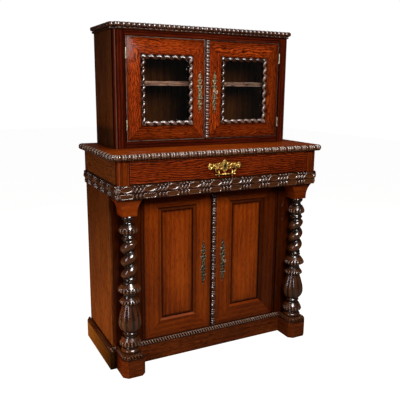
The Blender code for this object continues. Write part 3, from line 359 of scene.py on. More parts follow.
def add_piece(name, shapes, slot, body, *nodes, finish=None, tone=1.0, crease=CREASE):
    """Makes one object of lofts, hung on a body in place of CAD nodes, in the finish of its slot.

    The tone darkens boards that are darker than the rest of their timber, and paints shade on boards that
    stand in shadow.
    """
    starts = np.cumsum([0] + [len(shape[0]) for shape in shapes[:-1]])
    points = np.concatenate([shape[0] for shape in shapes])
    quads = np.concatenate([shape[1] + start for shape, start in zip(shapes, starts)])
    grain = np.concatenate([shape[2] for shape in shapes])
    clean = tone * np.concatenate([shape[3] for shape in shapes])
    mesh = bpy.data.meshes.new(name)
    mesh.from_pydata(points.tolist(), [], quads.tolist())
    fibres = mesh.attributes.new("grain", "FLOAT_VECTOR", "POINT")
    fibres.data.foreach_set("vector", grain.astype(np.float32).ravel())
    cleaned = mesh.attributes.new("clean", "FLOAT", "POINT")
    cleaned.data.foreach_set("value", clean.astype(np.float32))
    mesh.materials.append(FINISH[finish or slot])
    mesh.shade_smooth()
    mesh.set_sharp_from_angle(angle=crease)
    made = bpy.data.objects.new(name, mesh)
    bpy.context.scene.collection.objects.link(made)
    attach(made, body)
    if nodes:
        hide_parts(*nodes)


def walk(corners, step, closed=False):
    """Points along straight stretches between corners, an odd number of steps to each stretch.

    Gives for each point its place, the direction in which a parallel line moves it outwards (the
    stretch's normal, or the mitre at a corner), its distance along the stretch and the stretch's length.
    """
    corners = np.asarray(corners, float)
    if closed:
        corners = np.vstack([corners, corners[:1]])
    runs = np.diff(corners, axis=0)
    lengths = np.hypot(runs[:, 0], runs[:, 1])
    normal = np.stack([runs[:, 1], -runs[:, 0]], 1) / lengths[:, None]
    counts = 2 * np.round(lengths / step / 2).astype(int) + 1
    stretch = np.repeat(np.arange(len(runs)), counts)
    first = np.cumsum(counts) - counts
    share = (np.arange(counts.sum()) - first[stretch]) / counts[stretch]
    outward = normal[stretch]
    before = np.roll(normal, 1, axis=0)
    turned = np.arange(len(runs)) if closed else np.arange(1, len(runs))
    facing = 1 + np.sum(normal[turned] * before[turned], axis=1, keepdims=True)
    outward[first[turned]] = (normal[turned] + before[turned]) / facing
    place = corners[stretch] + share[:, None] * runs[stretch]
    run = share * lengths[stretch]
    length = lengths[stretch]
    if not closed:
        place = np.vstack([place, corners[-1]])
        outward = np.vstack([outward, normal[-1]])
        run = np.append(run, lengths[-1])
        length = np.append(length, lengths[-1])
    return place, outward, run, length


def canted_plan(half, front, back, cant):
    """The plan of a slab's left side, front and right side, its front corners cut off."""
    return np.array([(-half, back), (-half, front + cant), (-half + cant, front),
                     (half - cant, front), (half, front + cant), (half, back)])


def bullnose(low, high, radius, steps=6):
    """Inset, height and lean of a rounded edge: a quarter circle at its foot, another at its head."""
    quarter = np.linspace(0, pi / 2, steps)
    lean = np.concatenate([quarter - pi / 2, quarter])
    foot_or_head = np.repeat([low + radius, high - radius], steps)
    return radius * (1 - np.cos(lean)), foot_or_head + radius * np.sin(lean), lean


def bead_and_reel(run, length, period, cells, heights, polish):
    """How far a row of beads is cut back, from 0 on their crests to 1 between them, and how light it is
    painted.

    A whole number of periods fills each stretch. A period is parted in cells, and over each cell lies
    half an ellipse of its own height, painted pale on its crest to its own polish value as a highlight, and
    dark at its ends as shade.
    """
    count = np.maximum(1, np.round(length / period))
    share = np.clip((run / length * count) % 1, 0, 1 - 1e-9)
    edges = np.concatenate([[0], np.cumsum(cells)])
    cell = np.clip(np.searchsorted(edges, share, side="right") - 1, 0, len(cells) - 1)
    across = (share - edges[cell]) / np.asarray(cells)[cell] * 2 - 1
    crest = np.sqrt(np.clip(1 - across ** 2, 0, 1))
    clean = np.interp(crest, (0, 0.35, 0.7, 1), (0, 0.15, 0.8, 1)) * np.asarray(polish)[cell]
    return 1 - np.asarray(heights)[cell] * crest, clean


def edge_rings(outline, inset, height, lean, depth):
    """Rings of an edge: the plan moved inwards by inset at each height, cut back square to the profile."""
    place, outward = outline[:2]
    depth = depth * np.ones((len(inset), len(place)))
    cut = inset[:, None] + depth * np.cos(lean)[:, None]
    rise = height[:, None] - depth * np.sin(lean)[:, None]
    return np.concatenate([place - outward * cut[..., None], rise[..., None]], -1)


def strip(outline, inset, height, lean, depth, back, fibre=0, clean=1.0):
    """A moulding along an outline: at each station its carved profile, closed by a flat back."""
    place, outward = outline[:2]
    inner = place - outward * back
    level = np.ones(len(inner))
    foot = np.column_stack([inner, height[0] * level])
    head = np.column_stack([inner, height[-1] * level])
    face = edge_rings(outline, inset, height, lean, depth)
    clean = clean * np.ones(face.shape[:2])
    clean = np.vstack([clean[:1], clean, clean[-1:]])
    rings = np.concatenate([foot[None], face, head[None]])
    return loft(rings.transpose(1, 0, 2), fibre, clean=clean.T)


def slab(corners, low, high, eased=EASED, axes=(0, 1, 2), fibre=0):
    """An outline as a slab with eased edges. Axes says where its plan and its thickness point."""
    outline = walk(corners, PLAIN_STEP, closed=True)
    inset, height, lean = bullnose(low, high, eased, steps=3)
    return loft(edge_rings(outline, inset, height, lean, 0.0)[..., axes], fibre)


def board(low, high, eased=EASED, fibre=2, corner_steps=3):
    """A plank: rounded rectangles from its foot to its head, drawn in towards both by a quarter circle."""
    low = np.asarray(low, float)
    high = np.asarray(high, float)
    eased = min(eased, 0.45 * (high - low).min())
    middle = (low + high) / 2
    core = (high - low) / 2 - eased
    turn = np.linspace(0, pi / 2, corner_steps)
    around = np.concatenate([turn + quarter * pi / 2 for quarter in range(4)])
    side_x = np.repeat([1, -1, -1, 1], corner_steps)
    side_y = np.repeat([1, 1, -1, -1], corner_steps)
    lean = np.radians([-90, -45, 0, 0, 45, 90])
    end = np.array([-1, -1, -1, 1, 1, 1])
    reach = eased * np.maximum(np.cos(lean), 0.05)[:, None]
    x = middle[0] + core[0] * side_x + reach * np.cos(around)
    y = middle[1] + core[1] * side_y + reach * np.sin(around)
    z = (middle[2] + core[2] * end + eased * np.sin(lean))[:, None] * np.ones_like(x)
    return loft(np.stack([x, y, z], -1), fibre)


def board_of(node, **options):
    """A plank in the box of a CAD node."""
    return board(*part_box(node), **options)


def planks(node, count, fibre=2):
    """A back made of upright planks, side by side in the box of a CAD node."""
    low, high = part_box(node)
    edges = np.linspace(low.x, high.x, count + 1)
    return [board((left, low.y, low.z), (right, high.y, high.z), PLANK_EASE, fibre)
            for left, right in zip(edges[:-1], edges[1:])]


def angles_round(count):
    """Angles at even steps once round a circle."""
    return np.arange(count) / count * 2 * pi


def face_middle(low, high):
    """The middle of a box seen from the front: its X and its Z."""
    return (low.x + high.x) / 2, (low.z + high.z) / 2


def bar(path, across, half_width, half_depth, outwards=(0, 1, 0), sides=10, closed=False, fibre=0):
    """A bar along a path, with its own width and depth at every point.

    Each ring is an ellipse: its width lies along across, its depth along outwards.
    """
    around = (np.arange(sides) + 0.5) / sides * 2 * pi
    wide = np.asarray(half_width)[..., None, None] * np.cos(around)[:, None]
    deep = np.asarray(half_depth)[..., None, None] * np.sin(around)[:, None]
    rings = path[:, None, :] + across[:, None, :] * wide + np.asarray(outwards, float) * deep
    return loft(rings, fibre, closed)


def scroll(start, heading, bend, curl, length, thick, thin, y, mirror=(1, 1), steps=26):
    """A tapered scroll on a door's face: its direction turns by bend and ever faster by curl.

    The direction at a distance s along it is heading + bend s + curl s^2 / 2, with s in millimetres and
    the direction in degrees. Mirror turns it left to right, upside down or both, about its start's origin.
    """
    origin, first = start
    run = np.linspace(0, length, steps)
    angle = np.radians(heading + bend * run + curl * run ** 2 / 2)
    step = np.diff(run, prepend=0)
    x = first[0] + np.cumsum(step * np.cos(angle))
    z = first[1] + np.cumsum(step * np.sin(angle))
    path = np.stack([origin[0] + mirror[0] * x * MM, np.full(steps, y), origin[1] + mirror[1] * z * MM], -1)
    across = np.stack([-mirror[0] * np.sin(angle), np.zeros(steps), mirror[1] * np.cos(angle)], -1)
    half = (thick + (thin - thick) * run / length) * MM / 2
    return bar(path, across, half, np.maximum(half * 0.8, SCROLL_THINNEST))


def turned(profile, place, axis=2, sides=20):
    """A profile of radii and distances in millimetres, turned round an axis through a place."""
    radius, along = np.asarray(profile, float).T * MM
    around = angles_round(sides)
    rings = np.zeros((len(radius), sides, 3))
    rings[..., axis] = along[:, None]
    rings[..., (axis + 1) % 3] = radius[:, None] * np.cos(around)
    rings[..., (axis + 2) % 3] = radius[:, None] * np.sin(around)
    return loft(rings + np.asarray(place, float), axis)


def rosette(x, z, back, radius, petals, height, sides=48):
    """A cast flower flat against a face: petals round a dome, its rings drawn in towards the middle."""
    around = angles_round(sides)
    petal = 0.72 + 0.28 * np.abs(np.cos(petals * around / 2))
    share = np.array([1.0, 1.0, 0.92, 0.70, 0.50, 0.42, 0.36, 0.24, 0.08])
    rise = np.array([0.0, 0.35, 0.62, 0.80, 0.62, 0.50, 0.78, 1.0, 1.06])
    flower = np.clip((share[:, None] - 0.40) / 0.2, 0, 1)
    reach = radius * share[:, None] * (1 + (petal - 1) * flower)
    y = back - height * rise[:, None] * np.ones(sides)
    return loft(np.stack([x + reach * np.cos(around), y, z + reach * np.sin(around)], -1))


def pierced_boss(x, z, back, half_width, half_height, height, hole_width, hole_height, sides=32):
    """An oval plate with a rim round a dome and a slot: ovals from its edge over both into the slot."""
    around = angles_round(sides)
    share = np.array([1.0, 1.0, 0.90, 0.72, 0.64, 0.30, 0.0, 0.0])
    rise = np.array([0.0, 0.50, 0.75, 0.65, 0.60, 0.95, 1.0, 0.0])
    # the rim is painted brighter, a painted highlight, and the way into the slot darker, painted shade
    clean = np.array([1.0, 1.1, 1.3, 1.1, 0.9, 1.0, 0.9, 0.2])
    wide = hole_width + (half_width - hole_width) * share[:, None]
    tall = hole_height + (half_height - hole_height) * share[:, None]
    y = back - height * rise[:, None] * np.ones(sides)
    rings = np.stack([x + wide * np.cos(around), y, z + tall * np.sin(around)], -1)
    return loft(rings, closed=True, clean=clean[:, None])


def canted_post(into, out, front, back, cant, low, high, clean):
    """An upright with its outer front corner cut off: its front in strips, each line painted as light as
    given.
    """
    side = np.sign(out - into)
    x = np.append(np.linspace(into, out - side * cant, len(clean) - 1), out)
    y = np.append(np.full(len(clean) - 1, front), front + cant)
    plan = np.vstack([np.stack([x, y], -1), np.stack([x[::-1], np.full_like(x, back)], -1)])
    rings = np.stack([np.column_stack([plan, np.full(len(plan), z)]) for z in (low, high)])
    return loft(rings, 2, clean=np.append(clean, np.ones(len(clean))))


def mitred_frame(outer, inner, profile, tones):
    """Four members mitred at the corners of a frame: left stile, right stile, bottom rail, top rail.

    Outer and inner are rectangles (low x, low z, high x, high z). A profile point is a share of the way
    from the outer to the inner rectangle, a further distance inwards, a depth along Y and how clean it
    is, on all four members or on each. Every member has its own tone. It is a loft between its two
    corners, each a hair short of the mitre.
    """
    share, inset, depth = np.array([point[:3] for point in profile], float).T
    clean = np.array([np.broadcast_to(point[3], 4) for point in profile], float) * tones
    corners = {}
    for right, upper in itertools.product((0, 1), (0, 1)):
        outside = np.array([outer[2 * right], outer[1 + 2 * upper]])
        inside = np.array([inner[2 * right], inner[1 + 2 * upper]])
        inwards = np.array([1 - 2 * right, 1 - 2 * upper])
        flat = outside + share[:, None] * (inside - outside) + inset[:, None] * inwards
        corners[right, upper] = np.stack([flat[:, 0], depth, flat[:, 1]], -1)
    members = []
    ends = (((0, 0), (0, 1), 2), ((1, 0), (1, 1), 2), ((0, 0), (1, 0), 0), ((0, 1), (1, 1), 0))
    for member, (first, last, axis) in enumerate(ends):
        rings = np.stack([corners[first], corners[last]])
        rings[0, :, axis] += MITRE_GAP / 2
        rings[1, :, axis] -= MITRE_GAP / 2
        members.append(loft(rings, axis, clean=clean[:, member]))
    return members


def linear(colour):
    """An sRGB hex colour as linear light with full alpha."""
    parts = np.array([int(colour[at:at + 2], 16) for at in (1, 3, 5)]) / 255
    light = np.where(parts <= 0.04045, parts / 12.92, ((parts + 0.055) / 1.055) ** 2.4)
    return (*light, 1)


def set_inputs(tree, node, inputs):
    """Sets a node's inputs to values, or links them to sockets."""
    for name, value in inputs.items():
        if isinstance(value, bpy.types.NodeSocket):
            tree.links.new(value, node.inputs[name])
        else:
            node.inputs[name].default_value = value


def add_node(tree, kind, inputs=None, **settings):
    """Adds a node with its settings. Each input takes a value or the socket that it is linked to."""
    node = tree.nodes.new(kind)
    for name, value in settings.items():
        setattr(node, name, value)
    set_inputs(tree, node, inputs or {})
    return node


def new_material(name):
    """A node material: itself, its tree and its shader."""
    made = bpy.data.materials.new(name)
    made.use_nodes = True
    tree = made.node_tree
    return made, tree, tree.nodes["Principled BSDF"]


def set_ramp(node, stops):
    """Gives a colour ramp its stops, each a position and an sRGB hex colour."""
    ramp = node.color_ramp
    while len(ramp.elements) < len(stops):
        ramp.elements.new(1)
    for element, (position, colour) in zip(ramp.elements, stops):
        element.position = position
        element.color = linear(colour)


def grain_noise(tree, grain, along_mm, across_mm, detail):
    """Noise drawn out along the fibres: the size of its patches along and across them."""
    scale = (1 / (along_mm * MM), 1 / (across_mm * MM), 1 / (across_mm * MM))
    stretched = add_node(tree, "ShaderNodeMapping", {"Vector": grain, "Scale": scale})
    return add_node(tree, "ShaderNodeTexNoise", {"Vector": stretched.outputs[0], "Scale": 1.0,
                                                 "Detail": detail})


# Patterns of the timber: their sizes along and across the fibres in millimetres, and their share of its tone
DRIFT_MM = (210, 75)
STREAK_MM = (160, 3.4)
PORE_MM = (26, 2.6)
CLOUD_MM = (240, 90)
CLOUD_SHARE = 0.30
TONE_START = 0.35


def wood(name, stops, ring_mm=24, ring_share=0.08, sway_mm=12, ripple=1.0, streak_share=0.40, pores=0.35,
         coat=0.35, coat_roughness=0.10, coat_ior=1.5, rubbed_and_lit="#7d6b5e"):
    """Timber cut through its growth rings, under French polish.

    The eye gets curved dark rings, fine streaks along the fibres, short dark pores and a clear film over
    all of it that reflects softly. The colour darkens as clean falls, for dirt and for shade painted
    into hollows and gaps, and turns pale above 1, for wear where hands touch and for highlights painted on
    crests. Coordinates are the piece's own fibres: along, across and through.
    """
    made, tree, shader = new_material(name)
    grain = add_node(tree, "ShaderNodeAttribute", attribute_name="grain").outputs["Vector"]
    drift = grain_noise(tree, grain, *DRIFT_MM, 1.0)
    reach = (0.0, sway_mm * MM, sway_mm * MM)
    sway = add_node(tree, "ShaderNodeVectorMath", {0: drift.outputs["Color"], 1: reach}, operation="MULTIPLY")
    bent = add_node(tree, "ShaderNodeVectorMath", {0: grain, 1: sway.outputs[0]}, operation="ADD")
    bent = bent.outputs[0]
    # a wave band repeats every 2 pi / 20 of a unit
    rings = add_node(tree, "ShaderNodeTexWave", {"Vector": bent, "Scale": 2 * pi / 20 / (ring_mm * MM),
                                                  "Distortion": ripple, "Detail": 2.0, "Detail Scale": 1.5},
                     bands_direction="Y", wave_profile="SIN")
    # streaks and pores are drawn wider than in the timber, so that they show
    streak = grain_noise(tree, bent, *STREAK_MM, 3.0)
    pore = grain_noise(tree, bent, *PORE_MM, 1.0)
    cloud = grain_noise(tree, grain, *CLOUD_MM, 1.0)
    tone = TONE_START - (ring_share + streak_share) / 2
    for layer, share in ((rings, ring_share), (streak, streak_share), (cloud, CLOUD_SHARE)):
        tone = add_node(tree, "ShaderNodeMath", {0: layer.outputs["Fac"], 1: share, 2: tone},
                        operation="MULTIPLY_ADD").outputs[0]
    colour = add_node(tree, "ShaderNodeValToRGB", {"Fac": tone})
    set_ramp(colour, stops)
    dark = add_node(tree, "ShaderNodeMapRange", {"Value": pore.outputs["Fac"], "From Min": 0.36,
                                                 "From Max": 0.52, "To Min": 1 - pores, "To Max": 1.0})
    clean = add_node(tree, "ShaderNodeAttribute", attribute_name="clean").outputs["Fac"]
    shade = add_node(tree, "ShaderNodeMath", {0: clean, 1: 0.94, 2: 0.06}, operation="MULTIPLY_ADD")
    shade = add_node(tree, "ShaderNodeMath", {0: shade.outputs[0], 1: 1.3}, operation="MINIMUM")
    shade = add_node(tree, "ShaderNodeMath", {0: shade.outputs[0], 1: dark.outputs[0]},
                     operation="MULTIPLY")
    tinted = add_node(tree, "ShaderNodeVectorMath", {0: colour.outputs[0], "Scale": shade.outputs[0]},
                      operation="SCALE")
    # pale above 1.2: wear where hands touch, and highlights painted on crests
    worn_and_lit = add_node(tree, "ShaderNodeMapRange", {"Value": clean, "From Min": 1.2, "From Max": 2.4})
    bare_and_lit = add_node(tree, "ShaderNodeMix", {"Factor": worn_and_lit.outputs[0], "A": tinted.outputs[0],
                                            "B": linear(rubbed_and_lit)}, data_type="RGBA")
    bump = add_node(tree, "ShaderNodeBump", {"Height": dark.outputs[0], "Strength": 0.08, "Distance": MM})
    set_inputs(tree, shader, {"Base Color": bare_and_lit.outputs["Result"], "Roughness": 0.5, "Coat Weight": coat,
                              "Coat Roughness": coat_roughness, "Coat IOR": coat_ior,
                              "Specular IOR Level": 0.0, "Normal": bump.outputs[0]})
    return made


def metal(name, bright, dull, patch_mm, roughness):
    """Metal: bright where hands rub it and where a rim is painted as a highlight, dull in hollows, in patches
    and where shade is painted, and glossier where it is bright.
    """
    made, tree, shader = new_material(name)
    place = add_node(tree, "ShaderNodeAttribute", attribute_name="grain").outputs["Vector"]
    patch = grain_noise(tree, place, patch_mm, patch_mm, 3.0)
    clean = add_node(tree, "ShaderNodeAttribute", attribute_name="clean").outputs["Fac"]
    rubbed_and_lit = add_node(tree, "ShaderNodeMath", {0: patch.outputs["Fac"], 1: clean}, operation="MULTIPLY")
    colour = add_node(tree, "ShaderNodeValToRGB", {"Fac": rubbed_and_lit.outputs[0]})
    set_ramp(colour, ((0.36, dull), (0.60, bright)))
    gloss = add_node(tree, "ShaderNodeMapRange", {"Value": patch.outputs["Fac"], "From Min": 0.3,
                                                  "From Max": 0.7, "To Min": roughness + 0.15,
                                                  "To Max": roughness})
    set_inputs(tree, shader, {"Base Color": colour.outputs[0], "Roughness": gloss.outputs[0],
                              "Metallic": 1.0})
    return made


def sheet_glass(name):
    """Old sheet glass: clear, slightly green, with a reflection that grows towards the edge of sight."""
    made, tree, shader = new_material(name)
    clear = add_node(tree, "ShaderNodeBsdfTransparent", {"Color": linear("#f6f2ea")})
    gloss = add_node(tree, "ShaderNodeBsdfGlossy", {"Color": (1, 1, 1, 1), "Roughness": 0.02})
    grazing = add_node(tree, "ShaderNodeFresnel", {"IOR": 1.45})
    mixed = add_node(tree, "ShaderNodeMixShader", {0: grazing.outputs[0], 1: clear.outputs[0],
                                                   2: gloss.outputs[0]})
    output = tree.nodes["Material Output"]
    tree.nodes.remove(shader)
    tree.links.new(mixed.outputs[0], output.inputs["Surface"])
    return made


FINISH["polished_front"] = wood("rosewood polished front", (
    (0.20, "#3a1304"), (0.42, "#682606"), (0.56, "#7e3308"), (0.80, "#98460b")))
FINISH["polished_figured"] = wood("rosewood polished figured", (
    (0.16, "#1e0603"), (0.38, "#5a1b07"), (0.54, "#842e0b"), (0.80, "#a44411")), ring_mm=7, ring_share=0.26,
    sway_mm=70, ripple=3.5, pores=0.75, coat=0.12)
FINISH["drawer_figure"] = wood("rosewood polished drawer front", (
    (0.16, "#160401"), (0.38, "#431305"), (0.54, "#642008"), (0.80, "#86340d")), ring_mm=10, ring_share=0.30,
    sway_mm=50, ripple=3.0, streak_share=0.50, pores=0.65)
FINISH["cheek"] = wood("rosewood polished with painted reeds", (
    (0.20, "#2a0d03"), (0.42, "#511c06"), (0.58, "#682908"), (0.80, "#7e360b")), coat=0.05)
FINISH["polished_side"] = wood("rosewood polished side", (
    (0.20, "#2a140c"), (0.42, "#512a15"), (0.58, "#66371a"), (0.80, "#7b4720")), ring_share=0.08,
    streak_share=0.60, pores=0.5, coat=0.08)
FINISH["carved"] = wood("rosewood carved and dark polished", (
    (0.20, "#150803"), (0.45, "#381a07"), (0.75, "#5e310f")), coat=1.0, coat_roughness=0.20, coat_ior=1.8,
    pores=0.2)
FINISH["carved_strip"] = wood("rosewood carved bead strip", (
    (0.20, "#150703"), (0.45, "#371a0b"), (0.75, "#5c3216")), coat=0.85, coat_roughness=0.20, coat_ior=1.75,
    pores=0.2, rubbed_and_lit="#887c78")
FINISH["carved_plinth"] = wood("rosewood carved plinth edge", (
    (0.20, "#1a0a04"), (0.45, "#3e1e0d"), (0.75, "#643a20")), coat=0.25, pores=0.2, rubbed_and_lit="#8f7b6e")
# Cock beads: painted pale grey, as highlight lines along the glazed doors' edges
FINISH["highlight_bead"] = wood("rosewood bead pale as painted highlight", (
    (0.20, "#241a14"), (0.45, "#4f433a"), (0.75, "#786d64")), coat=0.3, pores=0.7)
FINISH["plinth_front"] = wood("rosewood polished dark front", (
    (0.20, "#220c05"), (0.42, "#4c1f0a"), (0.58, "#632a0d"), (0.80, "#7a3812")), streak_share=0.70, pores=0.6,
    coat=0.2)
# Plinth sides: the side timber painted lighter and more golden, as painted light falling low from the left
FINISH["plinth_side"] = wood("rosewood polished side lit as painted light", (
    (0.20, "#38200e"), (0.42, "#683f1a"), (0.58, "#7e4f21"), (0.80, "#92602a")), coat=0.08)
FINISH["case_stiles"] = wood("rosewood polished deep red", (
    (0.20, "#100402"), (0.42, "#280903"), (0.60, "#421206"), (0.80, "#64220a")), ring_mm=14, ring_share=0.16,
    streak_share=0.55, coat=0.0)
FINISH["inside"] = wood("stained pine inside", (
    (0.20, "#140a04"), (0.45, "#341c0b"), (0.75, "#553413")), ring_mm=34, coat=0.0, streak_share=0.6)
FINISH["shelf_edge"] = wood("stained pine shelf", (
    (0.20, "#38221e"), (0.45, "#86665f"), (0.75, "#c6b6b4")), ring_mm=34, coat=0.0, pores=0.8)
FINISH["drawer_lining"] = wood("oak drawer lining", (
    (0.20, "#4a2f16"), (0.45, "#7a5226"), (0.75, "#9c7038")), ring_mm=18, coat=0.0)
FINISH["brass"] = metal("brass cast and lacquered", "#e0b866", "#5e4016", 5, 0.35)
# darker plates behind the pierced metal, as painted shade in the piercings
FINISH["gilt_shade_ground"] = metal("brass plate darker as painted shade", "#a06a24", "#4a2c0c", 5, 0.50)
FINISH["aged_brass"] = metal("brass cast and aged", "#94886a", "#3c3522", 4, 0.42)
FINISH["bronze"] = metal("bronze cast and patinated", "#8f8a72", "#3c382a", 4, 0.50)
FINISH["bronze_shade_ground"] = metal("bronze plate dark as painted shade", "#2a2416", "#120e08", 6, 0.60)
FINISH["hinge_brass"] = metal("brass drawn and dulled", "#b9ad92", "#7d725a", 5, 0.45)
FINISH["steel"] = metal("steel forged and worn", "#f2e8d6", "#b8a888", 5, 0.50)
FINISH["glass"] = sheet_glass("old sheet glass")

HANDS = ("left", "right")
SIDES = ((-1, "left"), (1, "right"))


def inwards_of(corners, distance):
    """An open outline's corners, moved inwards by a distance."""
    place, outward = walk(corners, PLAIN_STEP)[:2]
    return place - outward * distance


def bead_depth(cut, lean):
    """How deep a nosing is carved: as far as its beads are cut back, and less where it leans over."""
    return BEAD_DEPTH * np.clip(1.2 * cut, 0, 1) * np.clip(np.cos(lean) + 0.25, 0, 1)[:, None] ** 0.5


def make_worktop():
    """The worktop: a polished slab inside a carved nosing of beads and pairs of reels."""
    low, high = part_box("worktop")
    plan = canted_plan(high.x, low.y, high.y, WORKTOP_CANT)
    edge = walk(plan, CARVING_STEP)
    inset, height, lean = bullnose(low.z, high.z, WORKTOP_NOSE, 7)
    cut, clean = bead_and_reel(edge[2], edge[3], WORKTOP_BEAD, *WORKTOP_CELLS)
    depth = bead_depth(cut, lean)
    # the nosing's underside is painted darker, as shade under the overhang
    clean = clean * np.interp(lean, (-1.4, -0.4, 0.2), (0.1, 0.5, 1))[:, None]
    nosing = strip(edge, inset, height, lean, depth, WORKTOP_EDGE, clean=clean)
    add_piece("worktop_nosing", [nosing], "carved", "base")
    top = slab(inwards_of(plan, WORKTOP_EDGE), low.z, high.z, SLAB_EASE)
    add_piece("worktop_slab", [top], "polished_front", "base", "worktop", tone=0.65)


def make_cornice():
    """The cornice: a slab with a row of beads and reels over a row of pearls."""
    low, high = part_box("cornice")
    step_z = low.z + CORNICE_LOWER
    plan = canted_plan(high.x, low.y, high.y, CORNICE_CANT)
    edge = walk(plan, CARVING_STEP)
    inset, height, lean = bullnose(step_z, high.z, CORNICE_NOSE, 6)
    cut, clean = bead_and_reel(edge[2], edge[3], CORNICE_BEAD, *CORNICE_CELLS)
    upper = strip(edge, inset, height, lean, bead_depth(cut, lean), CORNICE_EDGE, clean=clean)
    plan = canted_plan(high.x - CORNICE_STEP, low.y + CORNICE_STEP, high.y, CORNICE_CANT)
    edge = walk(plan, CARVING_STEP)
    inset, height, lean = bullnose(low.z, step_z, CORNICE_LOWER / 2 - JOINT_GAP, 4)
    cut, clean = bead_and_reel(edge[2], edge[3], CORNICE_PEARL, *PEARL_CELLS)
    lower = strip(edge, inset, height, lean, PEARL_DEPTH * cut * np.clip(np.cos(lean), 0, 1)[:, None],
                  CORNICE_EDGE - CORNICE_STEP, clean=clean)
    add_piece("cornice_beads", [upper, lower], "carved", "base", finish="carved_strip", tone=0.8)
    plan = canted_plan(high.x, low.y, high.y, CORNICE_CANT)
    top = slab(inwards_of(plan, CORNICE_EDGE), low.z, high.z, SLAB_EASE)
    add_piece("cornice_top", [top], "polished_side", "base", "cornice")


def band_pattern(run, length):
    """Where each point of the band lies: across its long cell, -1 to 1, and in metres from each leaf.

    The last number is half the length of a cell. Leaves stand in fours, midway between two cells.
    """
    count = np.maximum(0, np.round(length / BAND_PERIOD - BAND_OVAL_SHARE))
    period = length / (count + BAND_OVAL_SHARE)
    share = np.clip(run / period, 0, count + BAND_OVAL_SHARE - 1e-9) % 1
    cell = np.minimum(share / BAND_OVAL_SHARE * 2 - 1, 1)
    from_cluster = (share - BAND_OVAL_SHARE / 2) % 1 - 0.5
    from_leaves = [(from_cluster - leaf) * period for leaf in BAND_LEAVES]
    return cell, from_leaves, period * BAND_OVAL_SHARE / 2


def half_round(first, second=0.0):
    """The height of half a ball or half a rod: 1 on its crest, falling to 0 at a distance of 1."""
    return np.sqrt(np.clip(1 - first ** 2 - second ** 2, 0, 1))


def rimmed_hollow(inside):
    """A raised rim just inside an outline, then a smooth hollow: inside is the distance to the outline."""
    rim = BAND_RIM_HEIGHT * half_round((inside - BAND_RIM) / BAND_RIM)
    return np.maximum(rim, np.where(inside > BAND_RIM, BAND_HOLLOW, 0.0))


def upper_relief(run, length, z):
    """Upper tier: lens-shaped hollows in a raised rim, and slanted leaves with a curl above each.

    Z runs from the tier's middle. A lens is as high as its middle height times 1 - u^2, u being the share
    of the way to its point.
    """
    cell, from_leaves = band_pattern(run, length)[:2]
    tall = np.max(z)
    z = z[:, None]
    v = z / tall
    relief = rimmed_hollow(tall * BAND_LENS * (1 - cell ** 2) - np.abs(z))
    up_leaf = (v - BAND_LEAF_MIDDLE) / BAND_LEAF_HALF
    up_curl = (v - BAND_CURL_MIDDLE) / BAND_CURL_HALF
    for aside in from_leaves:
        leaf = half_round((aside - BAND_LEAF_SLANT * z) / BAND_LEAF, up_leaf)
        curl = half_round((aside - BAND_CURL_ASIDE) / BAND_CURL, up_curl)
        relief = np.maximum(relief, np.maximum(leaf, curl))
    return relief


def lower_relief(run, length, z):
    """Lower tier: long hollow bars in a raised rim with round ends, parted by crescents."""
    cell, from_leaves, half = band_pattern(run, length)
    tall = np.max(z) * BAND_LENS
    z = z[:, None]
    past_end = np.clip(np.abs(cell) * half - (half - tall), 0, 1)
    relief = rimmed_hollow(tall - np.sqrt(past_end ** 2 + z ** 2))
    for aside in from_leaves:
        bow = aside - BAND_CRESCENT * (z / tall) ** 2
        relief = np.maximum(relief, half_round(bow / BAND_CRESCENT, z / tall))
    return relief


def make_band():
    """The carved band in two tiers round the front and sides, and the rail behind it."""
    low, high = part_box("carved_band")
    edge = walk(canted_plan(high.x, low.y, high.y, BAND_CANT), CARVING_STEP)
    step_z = low.z + BAND_LOWER
    lower_z = np.linspace(low.z, step_z, round(BAND_LOWER / BAND_LEVEL))
    upper_z = np.linspace(step_z, high.z, 2 * round((high.z - step_z) / BAND_LEVEL / 2))
    lower = lower_relief(edge[2], edge[3], lower_z - (low.z + step_z) / 2)
    upper = upper_relief(edge[2], edge[3], upper_z - (step_z + high.z) / 2)
    height = np.concatenate([lower_z, upper_z])
    inset = np.where(np.arange(len(height)) < len(lower_z), BAND_STEP, 0.0)
    relief = np.concatenate([lower, upper])
    # painted shade in the gaps, painted highlights on the crests
    clean = np.interp(relief, (0, 0.2, BAND_HOLLOW, BAND_RIM_HEIGHT, 1), BAND_LIGHT_AND_SHADE)
    upright = np.zeros(len(height))
    band = strip(edge, inset, height, upright, BAND_RELIEF * (1 - relief), BAND_PROUD, clean=clean)
    rail_low, rail_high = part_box("frieze_top_rail")
    rail = board((rail_low.x, rail_low.y, low.z), (rail_high.x, rail_high.y, high.z), fibre=0)
    add_piece("band_carving", [band, rail], "carved", "base", "carved_band")


def make_frieze():
    """The frieze's side boards, its front cheeks with canted corners and the thin rail over the drawer."""
    for side, name in SIDES:
        low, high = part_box(f"frieze_end_{name}")
        out, into = (high.x, low.x) if side > 0 else (low.x, high.x)
        corner = low.y + FRIEZE_WALL
        near, far = sorted((out - side * FRIEZE_WALL, out))
        wall = board((near, corner, low.z), (far, high.y, high.z), WALL_EASE, 1)
        add_piece(f"frieze_board_{name}", [wall], "polished_side", "base")
        cheek = canted_post(into, out, low.y, corner, FRIEZE_CANT, low.z, high.z, CHEEK_PAINTED_REEDS)
        add_piece(f"frieze_cheek_{name}", [cheek], "polished_front", "base", f"frieze_end_{name}",
                  finish="cheek")
    rail = board_of("frieze_top_rail", fibre=0)
    add_piece("frieze_rail", [rail], "polished_front", "base", "frieze_top_rail")


